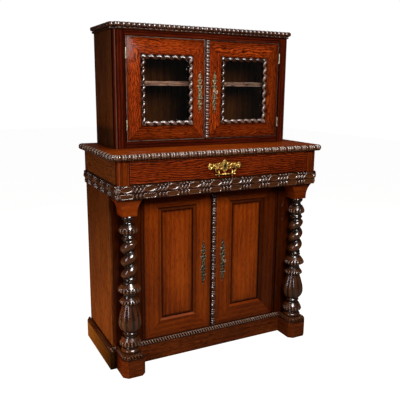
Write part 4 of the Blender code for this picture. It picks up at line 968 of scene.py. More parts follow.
def plinth_carving(corners, high, front):
    """The moulding along the plinth's top: an upright fillet under an ovolo with slanted ticks cut in it.

    Its ticks are painted pale on their crests, as highlights, and dark in their grooves and along the fillet,
    as shade; it is paler along the front between the blocks, and darker elsewhere.
    """
    edge = walk(corners, CARVING_STEP)
    turn = np.linspace(0, pi / 2, 10)
    foot = high - PLINTH_CARVED
    rise = PLINTH_CARVED - PLINTH_OVOLO_FROM
    inset = np.concatenate([[0, 0], PLINTH_OVOLO * (1 - np.cos(turn))])
    height = np.concatenate([[foot, foot + PLINTH_FILLET], foot + PLINTH_OVOLO_FROM + rise * np.sin(turn)])
    lean = np.concatenate([[0, 0], turn])
    carved = np.concatenate([[0, 0], np.clip(np.sin(pi * np.sin(turn)), 0, 1) ** 0.4])
    slant = edge[2] / PLINTH_TICK + PLINTH_TICK_SLANT * ((height - foot) / PLINTH_CARVED)[:, None]
    tick = carved[:, None] * (1 - np.abs(np.cos(pi * slant)))
    clean = np.interp(tick, (0, 0.2, 0.4, 1), (1.9, 1.3, 0.25, 0)) * np.where(carved > 0, 1, 0.2)[:, None]
    clean = clean * np.where(np.abs(edge[0][:, 1] - front) < MM, 1, PLINTH_DULL)
    return strip(edge, inset, height, lean, PLINTH_RELIEF * tick, PLINTH_CORE, clean=clean)


def plinth_board(corners, low, high, back, fibre=0):
    """The plain face of the plinth below its moulding."""
    level = np.array([low, high - PLINTH_CARVED])
    flat = np.zeros(2)
    edge = walk(corners, PLAIN_STEP)
    # the front beyond the blocks is painted dark, as shade
    at_end = (np.abs(edge[0][:, 0]) > PLINTH_DARK_FROM) & (edge[1][:, 1] < -0.9)
    return strip(edge, flat, level, flat, 0.0, back, fibre=fibre, clean=np.where(at_end, PLINTH_DARK, 1.0))


def make_plinth():
    """The breakfront plinth: its front with the two column blocks, and a return on each side."""
    low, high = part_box("plinth_front")
    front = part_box("plinth_left")[0].y
    column_low, column_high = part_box("column_right")
    axis = (column_low.x + column_high.x) / 2
    block = canted_plan(BLOCK_WIDTH / 2, low.y, front, BLOCK_CANT)
    path = np.vstack([[(low.x, front)], block - (axis, 0), block + (axis, 0), [(high.x, front)]])
    cores = [slab(inwards_of(block + (side * axis, 0), PLINTH_CORE), low.z, high.z, SLAB_EASE)
             for side in (-1, 1)]
    boards = [plinth_board(path, low.z, high.z, PLINTH_THICKNESS)]
    add_piece("plinth_front_board", boards, "polished_front", "base", "plinth_front", finish="plinth_front")
    add_piece("plinth_blocks", cores, "carved", "base", tone=0.6)
    add_piece("plinth_front_carving", [plinth_carving(path, high.z, front)], "carved", "base",
              finish="carved_plinth")
    for side, name in SIDES:
        low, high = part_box(f"plinth_{name}")
        out, into = (high.x, low.x) if side > 0 else (low.x, high.x)
        path = [(out, high.y), (out, low.y), (into, low.y)][::-side]
        add_piece(f"plinth_side_board_{name}", [plinth_board(path, low.z, high.z, abs(out - into), 1)],
                  "polished_side", "base", f"plinth_{name}", finish="plinth_side")
        add_piece(f"plinth_side_carving_{name}", [plinth_carving(path, high.z, front)], "carved", "base",
                  finish="carved_plinth")


def make_carcass():
    """The cupboard: sides, stiles, floor, shelf, planked back, and the soffit with the drawer's runners."""
    for name in HANDS:
        points, quads, grain = board_of(f"base_side_{name}")[:3]
        # darker above the middle, as painted shade
        painted_light = np.where(points[:, 2] > points[:, 2].mean(), *CUPBOARD_SIDE_SHADE)
        add_piece(f"cupboard_side_{name}", [(points, quads, grain, painted_light)], "polished_side", "base",
                  f"base_side_{name}")
        # the stiles behind the columns are painted almost black, as the columns' shadow
        add_piece(f"cupboard_stile_{name}", [board_of(f"base_stile_{name}")], "polished_front", "base",
                  f"base_stile_{name}", tone=0.12)
    for part in ("floor", "shelf"):
        add_piece(f"cupboard_{part}", [board_of(f"base_{part}", fibre=0)], "inside", "base", f"base_{part}")
    add_piece("cupboard_back", planks("base_back", 8), "inside", "base", "base_back")
    low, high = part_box("drawer_board")
    drawer_low, drawer_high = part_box("drawer_side_right")
    runner_top = drawer_low.z - RUNNER_CLEAR
    soffit_top = low.z + SOFFIT
    shapes = [board(low, (high.x, high.y, soffit_top), fibre=0)]
    for side in (-1, 1):
        near, far = sorted((side * (drawer_high.x - RUNNER_WIDTH), side * high.x))
        shapes.append(board((near, low.y, soffit_top), (far, high.y, runner_top), fibre=1))
        near, far = sorted((side * (drawer_high.x + GUIDE_CLEAR), side * high.x))
        shapes.append(board((near, low.y, runner_top), (far, high.y, high.z), fibre=1))
    add_piece("drawer_runners", shapes, "inside", "base", "drawer_board")


def make_corbels():
    """Brackets with hollowed sides: straight foot, then part of an ellipse that sweeps out to the soffit."""
    for name in HANDS:
        low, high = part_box(f"corbel_{name}")
        middle = (low.x + high.x) / 2
        turn = np.linspace(0, CORBEL_SWEEP, CORBEL_STEPS)
        flare = (1 - np.cos(turn)) / (1 - cos(CORBEL_SWEEP))
        x = np.append(CORBEL_FOOT, CORBEL_FOOT + (CORBEL_TOP - CORBEL_FOOT) * flare)
        z = np.append(low.z, high.z - CORBEL_CURVE_HEIGHT * (1 - np.sin(turn) / sin(CORBEL_SWEEP)))
        half = np.stack([x, z], -1)
        outline = np.vstack([half, half[::-1] * (-1, 1)]) + (middle, 0)
        shape = slab(outline, low.y, high.y, CORBEL_EASE, axes=(0, 2, 1), fibre=0)
        add_piece(f"corbel_bracket_{name}", [shape], "carved", "base", f"corbel_{name}",
                  finish="polished_front", tone=CORBEL_TONES[name])


def turning_levels(turnings, foot):
    """Heights, radii, lobe counts and lobe depths up a row of turnings, and the height reached.

    The tall vase is fluted all the way up, and the rings are lobed from their feet to past their bellies.
    """
    rows = []
    for height, neck, belly, skew, lobes, depth in turnings:
        share = np.linspace(0, 1, max(4, round(height * MM / COLUMN_LEVEL)))
        swell = np.sin(pi * share ** skew)
        lobed_to = RING_LOBED if height < RING_HEIGHT else VASE_LOBED
        lobed = swell ** 0.5 * np.clip((lobed_to - share) / LOBE_FADE, 0, 1)
        rows.append(np.stack([foot + height * MM * share, (neck + (belly - neck) * swell) * MM,
                              np.full_like(share, lobes), depth * lobed * MM], -1))
        foot += height * MM
    return np.concatenate(rows), foot


def make_columns():
    """Columns: turned rings and a vase with carved lobes, and a thick strand wound round the axis.

    A lobed ring has the radius R - d (1 - |cos(n a / 2)|) at the angle a. On the twist the radius is
    inner + (outer - inner) |cos((a - t) / 2)|, where t turns once in each pitch. Shade is painted into the
    creases, the lobes' gaps and the narrow necks, and highlights are painted pale on the lobes' crests.
    """
    around = angles_round(COLUMN_SIDES)
    for name in HANDS:
        low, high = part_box(f"column_{name}")
        middle = ((low.x + high.x) / 2, (low.y + high.y) / 2)
        foot, twist_z = turning_levels(COLUMN_FOOT, low.z)
        head_z = high.z - sum(turning[0] for turning in COLUMN_HEAD) * MM
        head = turning_levels(COLUMN_HEAD, head_z)[0]
        twist = np.linspace(twist_z, head_z, round((head_z - twist_z) / COLUMN_LEVEL))[1:-1]
        share = (twist - twist_z) / (head_z - twist_z)
        rise = np.clip(np.minimum(share, 1 - share) / TWIST_FADE, 0, 1)
        swell = (rise * rise * (3 - 2 * rise))[:, None]
        turn = TWIST_START + 2 * pi * (twist - twist_z) / TWIST_PITCH
        roll = np.abs(np.cos((around - turn[:, None]) / 2))
        wound = TWIST_END + (TWIST_INNER + (TWIST_OUTER - TWIST_INNER) * roll - TWIST_END) * swell
        rows = np.concatenate([foot, head])
        lobe = np.abs(np.cos(rows[:, 2:3] * around / 2))
        turned_radius = rows[:, 1:2] - rows[:, 3:4] * (1 - lobe)
        carved = np.clip(rows[:, 3:4] / LOBE_DEEP, 0, 1)
        # painted shade in the lobes' gaps, the necks and the twist's grooves; painted highlights on the
        # lobes' crests
        lobe_clean = 1 - carved * np.clip(1.1 - lobe / 0.75, 0, 1)
        waist_clean = np.clip((rows[:, 1:2] - WAIST_SHADE) / WAIST_SHADE_FADE, 0.15, 1)
        crest = np.clip((lobe - 0.72) / 0.2, 0, 1) * carved
        turned_clean = lobe_clean * waist_clean + np.where(rows[:, 2:3] > MANY_LOBES, 0.5, 0.1) * crest
        radius = np.concatenate([turned_radius[:len(foot)], wound, turned_radius[len(foot):]])
        twist_clean = np.clip(1.2 * roll - 0.2, 0, 1)
        clean = np.concatenate([turned_clean[:len(foot)], twist_clean, turned_clean[len(foot):]])
        level = np.concatenate([foot[:, 0], twist, head[:, 0]])
        rings = np.stack([middle[0] + radius * np.cos(around), middle[1] + radius * np.sin(around),
                          level[:, None] * np.ones_like(radius)], -1)
        column = loft(rings, 2, clean=clean)
        add_piece(f"column_turned_{name}", [column], "carved", "base", f"column_{name}", crease=COLUMN_CREASE)


def make_lower_doors():
    """The lower doors: mitred frames with a splayed edge round a sunk panel."""
    rope_low, rope_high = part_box("lower_astragal")
    for side, name in SIDES:
        body = f"lower_{name}_door"
        low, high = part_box(f"lower_{name}_frame")
        panel_low, panel_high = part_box(f"lower_{name}_panel")
        radius = (high.y - low.y) / 2
        left, right = (low.x, high.x - radius) if side > 0 else (low.x + radius, high.x)
        outer = (left, rope_low.z, right, rope_high.z)
        inner = (panel_low.x, panel_low.z, panel_high.x, panel_high.z)
        face = low.y
        ledge = face + LOWER_SPLAY_DEPTH
        splay = face + SPLAY_END
        quirk = face + SPLAY_QUIRK
        # dark along the door's outer edge and at the splay's foot, as painted shade in the gaps
        profile = [(0, 0, high.y, 1), (0, 0, face, 0),
                   *((share, inset, face, clean) for share, inset, clean in LOWER_FACE),
                   # the splay's bottom rail is painted pale as a highlight, its top rail and right stile
                   # darker as shade
                   (1, 0, face, SPLAY_EDGE), (1, 0, quirk, SPLAY_EDGE), (1, SPLAY_FILLET, quirk, SPLAY_EDGE),
                   (1, 2 * SPLAY_FILLET, quirk + SPLAY_DIP, SPLAY_FACE),
                   (1, SPLAY_WIDTH - SPLAY_FILLET, splay - SPLAY_DIP, SPLAY_FACE),
                   (1, SPLAY_WIDTH, splay, 0.5), (1, SPLAY_WIDTH + HAIR, splay + SPLAY_DIP, 0),
                   (1, SPLAY_WIDTH + HAIR, ledge, 0), (1, 0, ledge + HAIR, 1), (1, 0, high.y, 1)]
        shapes = mitred_frame(outer, inner, profile, LOWER_FRAME_TONES[name])
        turn = np.linspace(-pi / 2, pi / 2, 12)
        hung = right if side > 0 else left
        x = hung + side * radius * np.cos(turn)
        y = low.y + radius + radius * np.sin(turn)
        edge = np.array([np.stack([x, y, np.full(12, z)], -1) for z in (rope_low.z, rope_high.z)])
        # the rounded hung edge is painted dark, as shade in the gap
        shapes.append(loft(edge, 2, clean=0.2))
        add_piece(f"lower_door_frame_{name}", shapes, "polished_front", body, f"lower_{name}_frame")
        panel = sunk_panel(panel_low, panel_high, inner)
        add_piece(f"lower_door_panel_{name}", [panel], "polished_front", body, f"lower_{name}_panel")


def sunk_panel(low, high, opening):
    """A flat panel: rectangles from its rim to its middle, darker along the moulding that holds it, with dirt
    and painted shade.
    """
    inset = np.array([0, 0, *(SPLAY_WIDTH + PANEL_SHADE_AND_DIRT)])
    depth = np.array([high.y, low.y, low.y, low.y, low.y, low.y])
    clean = np.array([1, 0, 0, 0.1, 0.76, 1.06])
    rim = np.array([1, 1, 0, 0, 0, 0])
    low_x = np.where(rim, low.x, opening[0] + inset)
    low_z = np.where(rim, low.z, opening[1] + inset)
    high_x = np.where(rim, high.x, opening[2] - inset)
    high_z = np.where(rim, high.z, opening[3] - inset)
    rings = np.stack([np.stack([low_x, depth, low_z], -1), np.stack([high_x, depth, low_z], -1),
                      np.stack([high_x, depth, high_z], -1), np.stack([low_x, depth, high_z], -1)], 1)
    return loft(rings, 2, clean=clean[:, None])


def drawer_face():
    """The drawer's front: painted shade in the gap round it, then a painted highlight line, and a painted
    shadow with grime round the handle.

    Rings along X, each up the front and down the back. The dark is a bell over the distance from the handle.
    """
    low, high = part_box("drawer_front")
    plate_x, plate_z = face_middle(*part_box("handle_plate"))
    edge = DRAWER_EDGE
    plain = 2 * edge[-1]
    x = np.linspace(low.x + plain, high.x - plain, 90)
    x = np.concatenate([low.x + edge, x, high.x - edge[::-1]])
    z = np.linspace(low.z + plain, high.z - plain, 12)
    z = np.concatenate([low.z + edge, z, high.z - edge[::-1]])
    inside = np.minimum(np.minimum(x - low.x, high.x - x)[:, None], np.minimum(z - low.z, high.z - z))
    aside = (x - plate_x)[:, None] / DRAWER_SHADE_AND_GRIME[0]
    upright = (z - plate_z + DRAWER_SHADE_DROP) / DRAWER_SHADE_AND_GRIME[1]
    # painted shade in the gap, a painted highlight line, darker to the right as painted shade, and a painted
    # shadow with grime round the handle
    clean = np.interp(inside, edge, DRAWER_EDGE_LIGHT_AND_SHADE)
    clean = clean * np.interp(x, (low.x, high.x), (1, DRAWER_RIGHT_END))[:, None]
    clean = clean * (1 - DRAWER_SHADE_DEPTH * np.exp(-aside ** 2 - upright ** 2))
    front = np.where(inside < edge[1] / 2, low.y + DRAWER_EDGE_EASE, low.y)
    across, height = np.meshgrid(x, z, indexing="ij")
    up = np.stack([across, front, height], -1)
    down = np.stack([across, np.full_like(across, high.y), height], -1)[:, ::-1]
    return loft(np.concatenate([up, down], 1), 0, clean=np.concatenate([clean, np.ones_like(clean)], 1))


def edge_bead(low, high):
    """Four slender half-round beads along the edges of a glazed door, proud of its face."""
    shapes = []
    for end, (axis, across) in itertools.product((0, 1), ((0, 2), (2, 0))):
        path = np.zeros((2, 3))
        path[:, axis] = low[axis], high[axis]
        path[:, 1] = low.y
        path[:, across] = high[across] - COCKBEAD / 2 if end else low[across] + COCKBEAD / 2
        sideways = np.zeros((2, 3))
        sideways[:, across] = 1
        half_width, half_depth = COCKBEAD_ROD
        shapes.append(bar(path, sideways, np.full(2, half_width), np.full(2, half_depth), fibre=axis))
    return shapes


def make_upper_doors():
    """The glazed doors: mitred frames with a cock bead, and a twisted moulding round each pane.

    A slice of the moulding has the radius R (v + (1 - v) |cos((a - t) / 2)|), squashed in depth, where t
    makes whole turns along each side of the pane.
    """
    around = angles_round(PANE_TWIST_SIDES)
    for name in HANDS:
        body = f"upper_{name}_door"
        low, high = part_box(f"upper_{name}_frame")
        ring_low, ring_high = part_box(f"upper_{name}_twist")
        outer = (low.x, low.z, high.x, high.z)
        inner = (ring_low.x, ring_low.z, ring_high.x, ring_high.z)
        ease = COCKBEAD_EASE
        groove = low.y + COCKBEAD_DEPTH
        # dark in the groove beside the cock bead and at the inner edge, as painted shade
        profile = [(0, 0, high.y, 1), (0, 0, low.y + ease, 1), (0, ease, low.y, 1),
                   (0, COCKBEAD - ease, low.y, 1), (0, COCKBEAD, groove, 0), (0, COCKBEAD + ease, groove, 0),
                   (0, COCKBEAD + 2 * ease, low.y, 0.5),
                   *((share, inset, low.y, clean) for share, inset, clean in UPPER_FACE),
                   (1, -ease, low.y, 0.3), (1, 0, low.y + ease, 0.1), (1, 0, high.y, 1)]
        shapes = mitred_frame(outer, inner, profile, UPPER_FRAME_TONES[name])
        add_piece(f"upper_door_frame_{name}", shapes, "polished_front", body, f"upper_{name}_frame",
                  finish="polished_figured")
        # the beads are painted pale as highlights, and darker on the right door as painted shade
        add_piece(f"upper_door_bead_{name}", edge_bead(low, high), "polished_front", body,
                  finish="highlight_bead", tone=COCKBEAD_TONES[name])
        half = PANE_TWIST_WIDTH / 2
        corners = [(ring_low.x + half, ring_low.z + half), (ring_high.x - half, ring_low.z + half),
                   (ring_high.x - half, ring_high.z - half), (ring_low.x + half, ring_high.z - half)]
        place, outward, run, length = walk(corners, PANE_TWIST_STEP, closed=True)
        turn = 2 * pi * np.round(length / PANE_TWIST_PITCH) * run / length
        roll = np.abs(np.cos((around - turn[:, None]) / 2))
        swell = PANE_TWIST_VALLEY + (1 - PANE_TWIST_VALLEY) * roll
        flat = place[:, None, :] + outward[:, None, :] * (half * swell * np.cos(around))[..., None]
        depth = (ring_high.y - ring_low.y) / 2
        y = (ring_low.y + ring_high.y) / 2 - PANE_TWIST_PROUD + depth * swell * np.sin(around)
        rings = np.stack([flat[..., 0], y, flat[..., 1]], -1)
        # right and bottom painted lighter, left and top darker, as painted light and shade; the valleys
        # painted dark as shade
        rubbed_and_lit = 1 + outward @ PANE_TWIST_LIT_SIDES
        clean = np.clip((roll - 0.12) / 0.6, 0, 1) * rubbed_and_lit[:, None]
        add_piece(f"pane_twist_{name}", [loft(rings, 0, closed=True, clean=clean)], "carved", body,
                  f"upper_{name}_twist", finish="carved_strip", crease=PANE_TWIST_CREASE)


def make_astragals():
    """The half-round strips of beads and pairs of reels where the doors meet, cut in between them."""
    turn = np.linspace(-pi / 2, pi / 2, 12)
    for storey, period in (("upper", UPPER_STRIP_BEAD), ("lower", LOWER_STRIP_BEAD)):
        low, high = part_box(f"{storey}_astragal")
        wider = STRIP_WIDER[storey]
        level = np.linspace(low.z, high.z, 2 * round((high.z - low.z) / CARVING_STEP / 2))
        run = level - low.z
        length = np.full_like(run, high.z - low.z)
        cut, clean = bead_and_reel(run, length, period, *WORKTOP_CELLS[:2], STRIP_CREST_HIGHLIGHT[storey])
        cut = cut[:, None]
        wide = (high.x - low.x + wider) / 2 * (1 - 0.30 * cut)
        deep = (high.y - low.y) * (1 - 0.85 * cut)
        x = (low.x + high.x + wider) / 2 + wide * np.sin(turn)
        y = high.y - deep * np.cos(turn)
        rings = np.stack([x, y, level[:, None] * np.ones_like(x)], -1)
        # the strip's sides are painted dark as shade, and its crests pale as highlights
        clean = clean[:, None] * np.clip(1.6 * np.cos(turn) - 0.4, 0, 1)
        add_piece(f"{storey}_door_beads", [loft(rings, 2, clean=clean)], "carved",
                  f"{storey}_right_door", f"{storey}_astragal", finish="carved_strip")


def make_case():
    """The upper case: sides, floor, planked back, shelf and a face frame with canted edges."""
    for name in HANDS:
        add_piece(f"case_side_{name}", [board_of(f"upper_side_{name}")], "polished_side", "base",
                  f"upper_side_{name}")
    add_piece("case_floor", [board_of("upper_floor", fibre=0)], "inside", "base", "upper_floor")
    add_piece("case_back", planks("upper_back", 7), "inside", "base", "upper_back")
    low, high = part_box("upper_shelf")
    lip = low.y + SHELF_LIP
    add_piece("case_shelf", [board((low.x, lip, low.z), high, fibre=0)], "inside", "base", "upper_shelf")
    points, quads, grain = board(low, (high.x, lip - JOINT_GAP, high.z), fibre=0)[:3]
    # darker on the right as painted shade, lighter on the left as a painted highlight
    painted_light = np.where(points[:, 0] > 0, *SHELF_LIP_LIGHT)
    add_piece("case_shelf_lip", [(points, quads, grain, painted_light)], "inside", "base", finish="shelf_edge")
    low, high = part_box("upper_face_frame")
    door_low, door_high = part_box("upper_right_frame")
    shapes = []
    for side in (-1, 1):
        out = side * high.x
        shapes.append(canted_post(out - side * CASE_STILE, out, low.y, high.y, CASE_CANT, low.z, high.z,
                                  CASE_STILE_PAINTED_REEDS))
    rail_half = high.x - CASE_STILE
    for foot, head in ((low.z, door_low.z - RAIL_CLEAR), (door_high.z + RAIL_CLEAR, high.z)):
        shapes.append(board((-rail_half, low.y, foot), (rail_half, high.y, head), RAIL_EASE, 0))
    add_piece("case_face_frame", shapes, "polished_front", "base", "upper_face_frame", finish="case_stiles")


def make_drawer():
    """The drawer: a polished front and an oak box behind it."""
    add_piece("drawer_board_front", [drawer_face()], "polished_front", "drawer", "drawer_front",
              finish="drawer_figure")
    walls = (("wall_left", "side_left", 1), ("wall_right", "side_right", 1), ("wall_back", "back", 0),
             ("floor", "bottom", 1))
    for name, node, fibre in walls:
        wall = board_of(f"drawer_{node}", fibre=fibre)
        add_piece(f"drawer_{name}", [wall], "drawer_lining", "drawer", f"drawer_{node}")


def mirrored_profile(half):
    """A profile given from its end to its middle, continued with its mirror image."""
    return half + [(radius, -along) for radius, along in reversed(half[:-1])]


def make_handle():
    """The drawer's handle: a plate of flowers and scrolls round a boss, and a bail that hangs from it.

    Each arm of the bail is a cubic Bezier curve, thickest midway.
    """
    low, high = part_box("handle_plate")
    middle = face_middle(low, high)
    back = high.y
    face = back - PLATE_SCROLL / 2
    shapes = [pierced_boss(*middle, back, *PLATE_BOSS, PLATE_BOSS_PROUD, *PLATE_KEYHOLE)]
    for end in (-1, 1):
        tip = middle[1] + end * PLATE_BOSS[1]
        shapes.append(rosette(middle[0], tip, back, *PLATE_TIP))
        shapes.append(rosette(middle[0] + end * PLATE_FLOWER_X, middle[1], back, *PLATE_FLOWER))
        post_x = middle[0] + end * HANDLE_POST_X
        shapes.append(rosette(post_x, middle[1], back, *POST_FLOWER))
        shapes.append(turned(HANDLE_POST, (post_x, back, middle[1]), axis=1))
        run = np.linspace(*PLATE_SPINE, 8)
        path = np.stack([middle[0] + end * run * MM, np.full(8, face), np.full(8, middle[1])], -1)
        wide, deep = PLATE_SPINE_HALF
        shapes.append(bar(path, np.tile((0, 0, 1), (8, 1)), np.full(8, wide), np.full(8, deep)))
        for upright in (-1, 1):
            for first, *shape in PLATE_SCROLLS:
                shapes.append(scroll((middle, first), *shape, face, (end, upright)))
    add_piece("handle_scrollwork", shapes, "brass", "drawer", "handle_plate")
    # a darker plate behind the scrolls, as painted shade in the piercings
    run = np.linspace(-1, 1, GROUND_STEPS)
    path = np.tile((middle[0], back - GROUND_OFF, middle[1]), (GROUND_STEPS, 1))
    path[:, 0] += run * PLATE_FLOWER_X
    wide = PLATE_GROUND * (1 - 0.55 * run ** 2) * (1 + 0.15 * np.cos(8 * pi * run))
    ground = bar(path, np.tile((0, 0, 1), (GROUND_STEPS, 1)), wide, np.full(GROUND_STEPS, GROUND_HALF))
    add_piece("handle_ground", [ground], "bronze", "drawer", finish="gilt_shade_ground")
    # a black plug in the keyhole, painted shade in the hole's depth
    around = angles_round(KEYHOLE_SIDES)
    oval = np.stack([np.cos(around), np.sin(around)], -1) * PLATE_KEYHOLE + middle
    front_depth, back_depth, eased = KEYHOLE_DEPTHS
    hole = slab(oval, back - front_depth, back - back_depth, eased, axes=(0, 2, 1))
    add_piece("handle_keyhole", [hole], "inside", "drawer", tone=0.0)
    bail_low, bail_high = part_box("handle_bail")
    bail_y = (bail_low.y + bail_high.y) / 2
    share = np.linspace(0, 1, BAIL_ARM_STEPS)[:, None]
    shapes = []
    for end in (-1, 1):
        ends = np.array([(end * x, z) for x, z in BAIL_ARM]) * MM
        flat = ((1 - share) ** 3 * ends[0] + 3 * share * (1 - share) ** 2 * ends[1]
                + 3 * share ** 2 * (1 - share) * ends[2] + share ** 3 * ends[3])
        along = np.gradient(flat, axis=0)
        along /= np.linalg.norm(along, axis=1)[:, None]
        level = np.full(BAIL_ARM_STEPS, bail_y)
        path = np.stack([middle[0] + flat[:, 0], level, middle[1] + flat[:, 1]], -1)
        across = np.stack([-along[:, 1], np.zeros(BAIL_ARM_STEPS), along[:, 0]], -1)
        half = (2.0 + 0.9 * np.sin(pi * share[:, 0])) * MM
        shapes.append(bar(path, across, half, half))
        knob = (middle[0] + ends[3][0], bail_y, middle[1] + BAIL_KNOB_Z)
        shapes.append(turned(mirrored_profile(BAIL_KNOB), knob))
    grip = (middle[0], bail_y, middle[1] + BAIL_GRIP_Z)
    shapes.append(turned(mirrored_profile(BAIL_GRIP), grip, axis=0))
    add_piece("handle_bail_cast", shapes, "brass", "bail", "handle_bail")


def make_escutcheons():
    """Tall pierced key plates: a keyhole boss, and scrolls and leaves in pairs up and down a spine."""
    for storey, name in itertools.product(("lower", "upper"), HANDS):
        node = f"{storey}_{name}_escutcheon"
        low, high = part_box(node)
        middle = face_middle(low, high)
        scale = (high.z - low.z) / KEY_PLATE_HEIGHT
        face = high.y - KEY_PLATE_FACE
        shapes = [pierced_boss(*middle, high.y, *KEY_BOSS)]
        for upright in (-1, 1):
            path = np.tile((middle[0], face, middle[1]), (KEY_SPINE_STEPS, 1))
            path[:, 2] += upright * np.linspace(*KEY_SPINE, KEY_SPINE_STEPS) * scale * MM
            width = np.linspace(*KEY_SPINE_TAPER, KEY_SPINE_STEPS) * MM
            across = np.tile((1, 0, 0), (KEY_SPINE_STEPS, 1))
            shapes.append(bar(path, across, width, np.full(KEY_SPINE_STEPS, KEY_SPINE_DEPTH)))
            tip = middle[1] + upright * (high.z - low.z - KEY_TIP_INSET) / 2
            shapes.append(rosette(middle[0], tip, high.y, *KEY_TIP))
            for end in (-1, 1):
                for first, heading, bend, curl, length, thick, thin in KEY_PLATE_SCROLLS:
                    start = (middle, (first[0] * scale, first[1] * scale))
                    sizes = (heading, bend / scale, curl, length * scale, thick, thin)
                    shapes.append(scroll(start, *sizes, face, (end, upright)))
        # a dark plate behind the piercings, as painted shade
        run = np.linspace(-1, 1, GROUND_STEPS)
        path = np.tile((middle[0], high.y - GROUND_OFF, middle[1]), (GROUND_STEPS, 1))
        path[:, 2] += run * (high.z - low.z - KEY_GROUND_INSET) / 2
        width = (high.x - low.x) / 2 * (0.25 + 0.45 * (1 - run ** 2)) * (1 + 0.15 * np.cos(12 * pi * run))
        across = np.tile((1, 0, 0), (GROUND_STEPS, 1))
        ground = bar(path, across, width, np.full(GROUND_STEPS, GROUND_HALF))
        body = f"{storey}_{name}_door"
        add_piece(f"{storey}_key_ground_{name}", [ground], "bronze", body, finish="bronze_shade_ground")
        finish = "bronze" if storey == "lower" else "aged_brass"
        add_piece(f"{storey}_key_plate_{name}", shapes, "bronze", body, node, finish=finish)


def make_keys():
    """Keys in their locks: a shank with collars and a ring for a bow, turned edge on to the door."""
    around = angles_round(KEY_BOW_STEPS)
    wire = [np.full(KEY_BOW_STEPS, half) for half in KEY_WIRE]
    for storey in ("lower", "upper"):
        low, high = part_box(f"{storey}_key")
        x, z = face_middle(low, high)
        bow_y = low.y + KEY_BOW
        across = np.stack([np.zeros(KEY_BOW_STEPS), np.cos(around), np.sin(around)], -1)
        path = np.array([x, bow_y, z]) + across * (KEY_BOW - KEY_WIRE[0])
        ring = bar(path, across, *wire, outwards=(1, 0, 0), closed=True)
        front = bow_y + KEY_BOW
        reach = (high.y - front) / MM
        shank = turned(KEY_SHANK + [(2.2, reach - 0.5), (1.6, reach)], (x, front, z), axis=1)
        add_piece(f"{storey}_key_forged", [ring, shank], "steel", f"{storey}_key", f"{storey}_key")


def make_hinges():
    """Butt hinges at the glazed doors' outer edges: thin leaves and slender knuckles with rounded tips."""
    for (side, name), level in itertools.product(SIDES, ("top", "bottom")):
        label = f"upper_{name}_{level}_hinge"
        low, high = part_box(f"{label}_case")
        axis_x = side * HINGE_AXIS[0]
        third = (high.z - low.z) / 3
        for leaf, body in (("case", "base"), ("door", f"upper_{name}_door")):
            outwards = side if leaf == "case" else -side
            near, far = sorted(axis_x + outwards * edge for edge in HINGE_LEAF)
            foremost = HINGE_AXIS[1] + HINGE_LEAF_BACK
            shapes = [board((near, foremost, low.z), (far, high.y, high.z), HINGE_LEAF_EASE)]
            spans = ((low.z, low.z + third), (high.z - third, high.z))
            if leaf == "door":
                spans = ((low.z + third, high.z - third),)
            for foot, head in spans:
                tall = (head - foot) / MM
                profile = [(1.6, 0.2), (2.8, 0.9), (2.8, tall - 0.9), (1.6, tall - 0.2)]
                shapes.append(turned(profile, (axis_x, HINGE_AXIS[1], foot)))
            add_piece(f"{label}_{leaf}_drawn", shapes, "brass", body, f"{label}_{leaf}", finish="hinge_brass")


make_worktop()
make_cornice()
make_band()
make_frieze()
make_plinth()
make_carcass()
make_corbels()
make_columns()
make_lower_doors()
make_upper_doors()
make_astragals()
make_case()
make_drawer()
make_handle()
make_escutcheons()
make_keys()
make_hinges()

for name in HANDS:
    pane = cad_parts[f"upper_{name}_glass"]
    pane.data.materials.clear()
    pane.data.materials.append(FINISH["glass"])


# Camera: measured from the photograph
CAMERA_PLACE = (-1.135, -2.199, 1.223)
CAMERA_YAW = radians(27.12)
CAMERA_PITCH = radians(12.01)
CAMERA_ROLL = radians(0.5)
CAMERA_SENSOR = 36
CAMERA_LENS = CAMERA_SENSOR * 529.4 / 400

# Light: the room is dim, and every softbox has its place, target, width, height, power and colour
ROOM_LIGHT = 0.04
BACKDROP = 1.02
FLOOR_GLOW = 0.975
FLOOR_COLOUR = (0.12, 0.10, 0.08, 1)
FLOOR_CORNERS = ((-9, -9, 0), (9, -9, 0), (9, 14, 0), (-9, 14, 0))
SOFTBOXES = (
    ("front_softbox", (-0.15, -1.7, 1.70), (-0.1, 0, 0.65), 0.9, 0.6, 50, "#ffffff"),
    ("left_softbox", (-2.5, -1.1, 1.1), (-0.3, 0, 0.8), 0.32, 1.6, 17, "#eef2ff"),
    ("low_left_softbox", (-1.2, -0.05, 0.16), (-0.5, -0.05, 0.16), 0.6, 0.2, 10, "#ffd888"),
    ("right_softbox", (2.4, 1.0, 1.3), (0.5, 0.1, 0.7), 0.7, 1.6, 30, "#ffffff"),
    ("back_softbox", (0.4, 2.7, 1.6), (0, 0.2, 0.8), 1.4, 1.2, 55, "#ffffff"),
    ("overhead_softbox", (0, -0.35, 3.0), (0, -0.1, 0), 1.1, 0.6, 40, "#ffffff"),
)


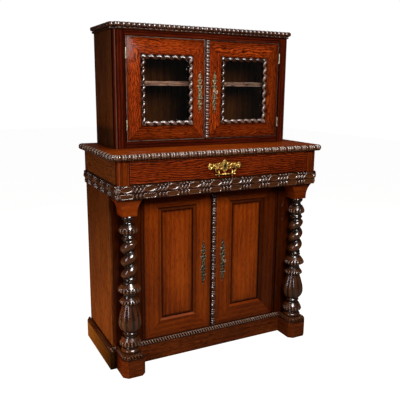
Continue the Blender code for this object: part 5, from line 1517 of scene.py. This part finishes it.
def make_camera():
    """The camera at the photograph's place, turned by yaw, pitch and a slight roll."""
    ahead = Vector((sin(CAMERA_YAW), cos(CAMERA_YAW), 0))
    level = Vector((cos(CAMERA_YAW), -sin(CAMERA_YAW), 0))
    look = ahead * cos(CAMERA_PITCH) - Vector((0, 0, sin(CAMERA_PITCH)))
    upright = Vector((0, 0, cos(CAMERA_PITCH))) + ahead * sin(CAMERA_PITCH)
    right = level * cos(CAMERA_ROLL) + upright * sin(CAMERA_ROLL)
    top = upright * cos(CAMERA_ROLL) - level * sin(CAMERA_ROLL)
    data = bpy.data.cameras.new("camera")
    data.lens = CAMERA_LENS
    data.sensor_width = CAMERA_SENSOR
    camera = bpy.data.objects.new("camera", data)
    facing = Matrix((right, top, -look)).transposed().to_4x4()
    camera.matrix_world = Matrix.Translation(CAMERA_PLACE) @ facing
    bpy.context.scene.collection.objects.link(camera)
    bpy.context.scene.camera = camera


def add_softbox(name, place, target, width, height, watts, colour):
    """A soft area light at a place, facing a target."""
    data = bpy.data.lights.new(name, "AREA")
    data.shape = "RECTANGLE"
    data.size = width
    data.size_y = height
    data.energy = watts
    data.color = linear(colour)[:3]
    lamp = bpy.data.objects.new(name, data)
    lamp.location = place
    lamp.rotation_euler = (Vector(target) - Vector(place)).to_track_quat("-Z", "Y").to_euler()
    lamp.visible_camera = False
    bpy.context.scene.collection.objects.link(lamp)


def make_studio():
    """White paper under soft lights: one close in front, others at each side, behind and overhead."""
    scene = bpy.context.scene
    scene.view_settings.view_transform = "Standard"
    world = bpy.data.worlds.new("studio")
    world.use_nodes = True
    tree = world.node_tree
    seen = add_node(tree, "ShaderNodeLightPath").outputs["Is Camera Ray"]
    strength = add_node(tree, "ShaderNodeMapRange", {"Value": seen, "To Min": ROOM_LIGHT, "To Max": BACKDROP})
    background = tree.nodes["Background"]
    background.inputs["Color"].default_value = (1, 1, 1, 1)
    tree.links.new(strength.outputs[0], background.inputs["Strength"])
    scene.world = world
    paper, tree, shader = new_material("white paper floor")
    seen = add_node(tree, "ShaderNodeLightPath").outputs["Is Camera Ray"]
    glow = add_node(tree, "ShaderNodeMapRange", {"Value": seen, "To Min": 0.0, "To Max": FLOOR_GLOW})
    set_inputs(tree, shader, {"Base Color": FLOOR_COLOUR, "Roughness": 0.9,
                              "Specular IOR Level": 0.0, "Emission Color": (1, 1, 1, 1),
                              "Emission Strength": glow.outputs[0]})
    mesh = bpy.data.meshes.new("floor")
    mesh.from_pydata(FLOOR_CORNERS, [], [(0, 1, 2, 3)])
    mesh.materials.append(paper)
    floor = bpy.data.objects.new("floor", mesh)
    scene.collection.objects.link(floor)
    for softbox in SOFTBOXES:
        add_softbox(*softbox)
    for name in ("low_left_softbox", "right_softbox", "back_softbox"):
        bpy.data.objects[name].visible_glossy = False


make_camera()
make_studio()
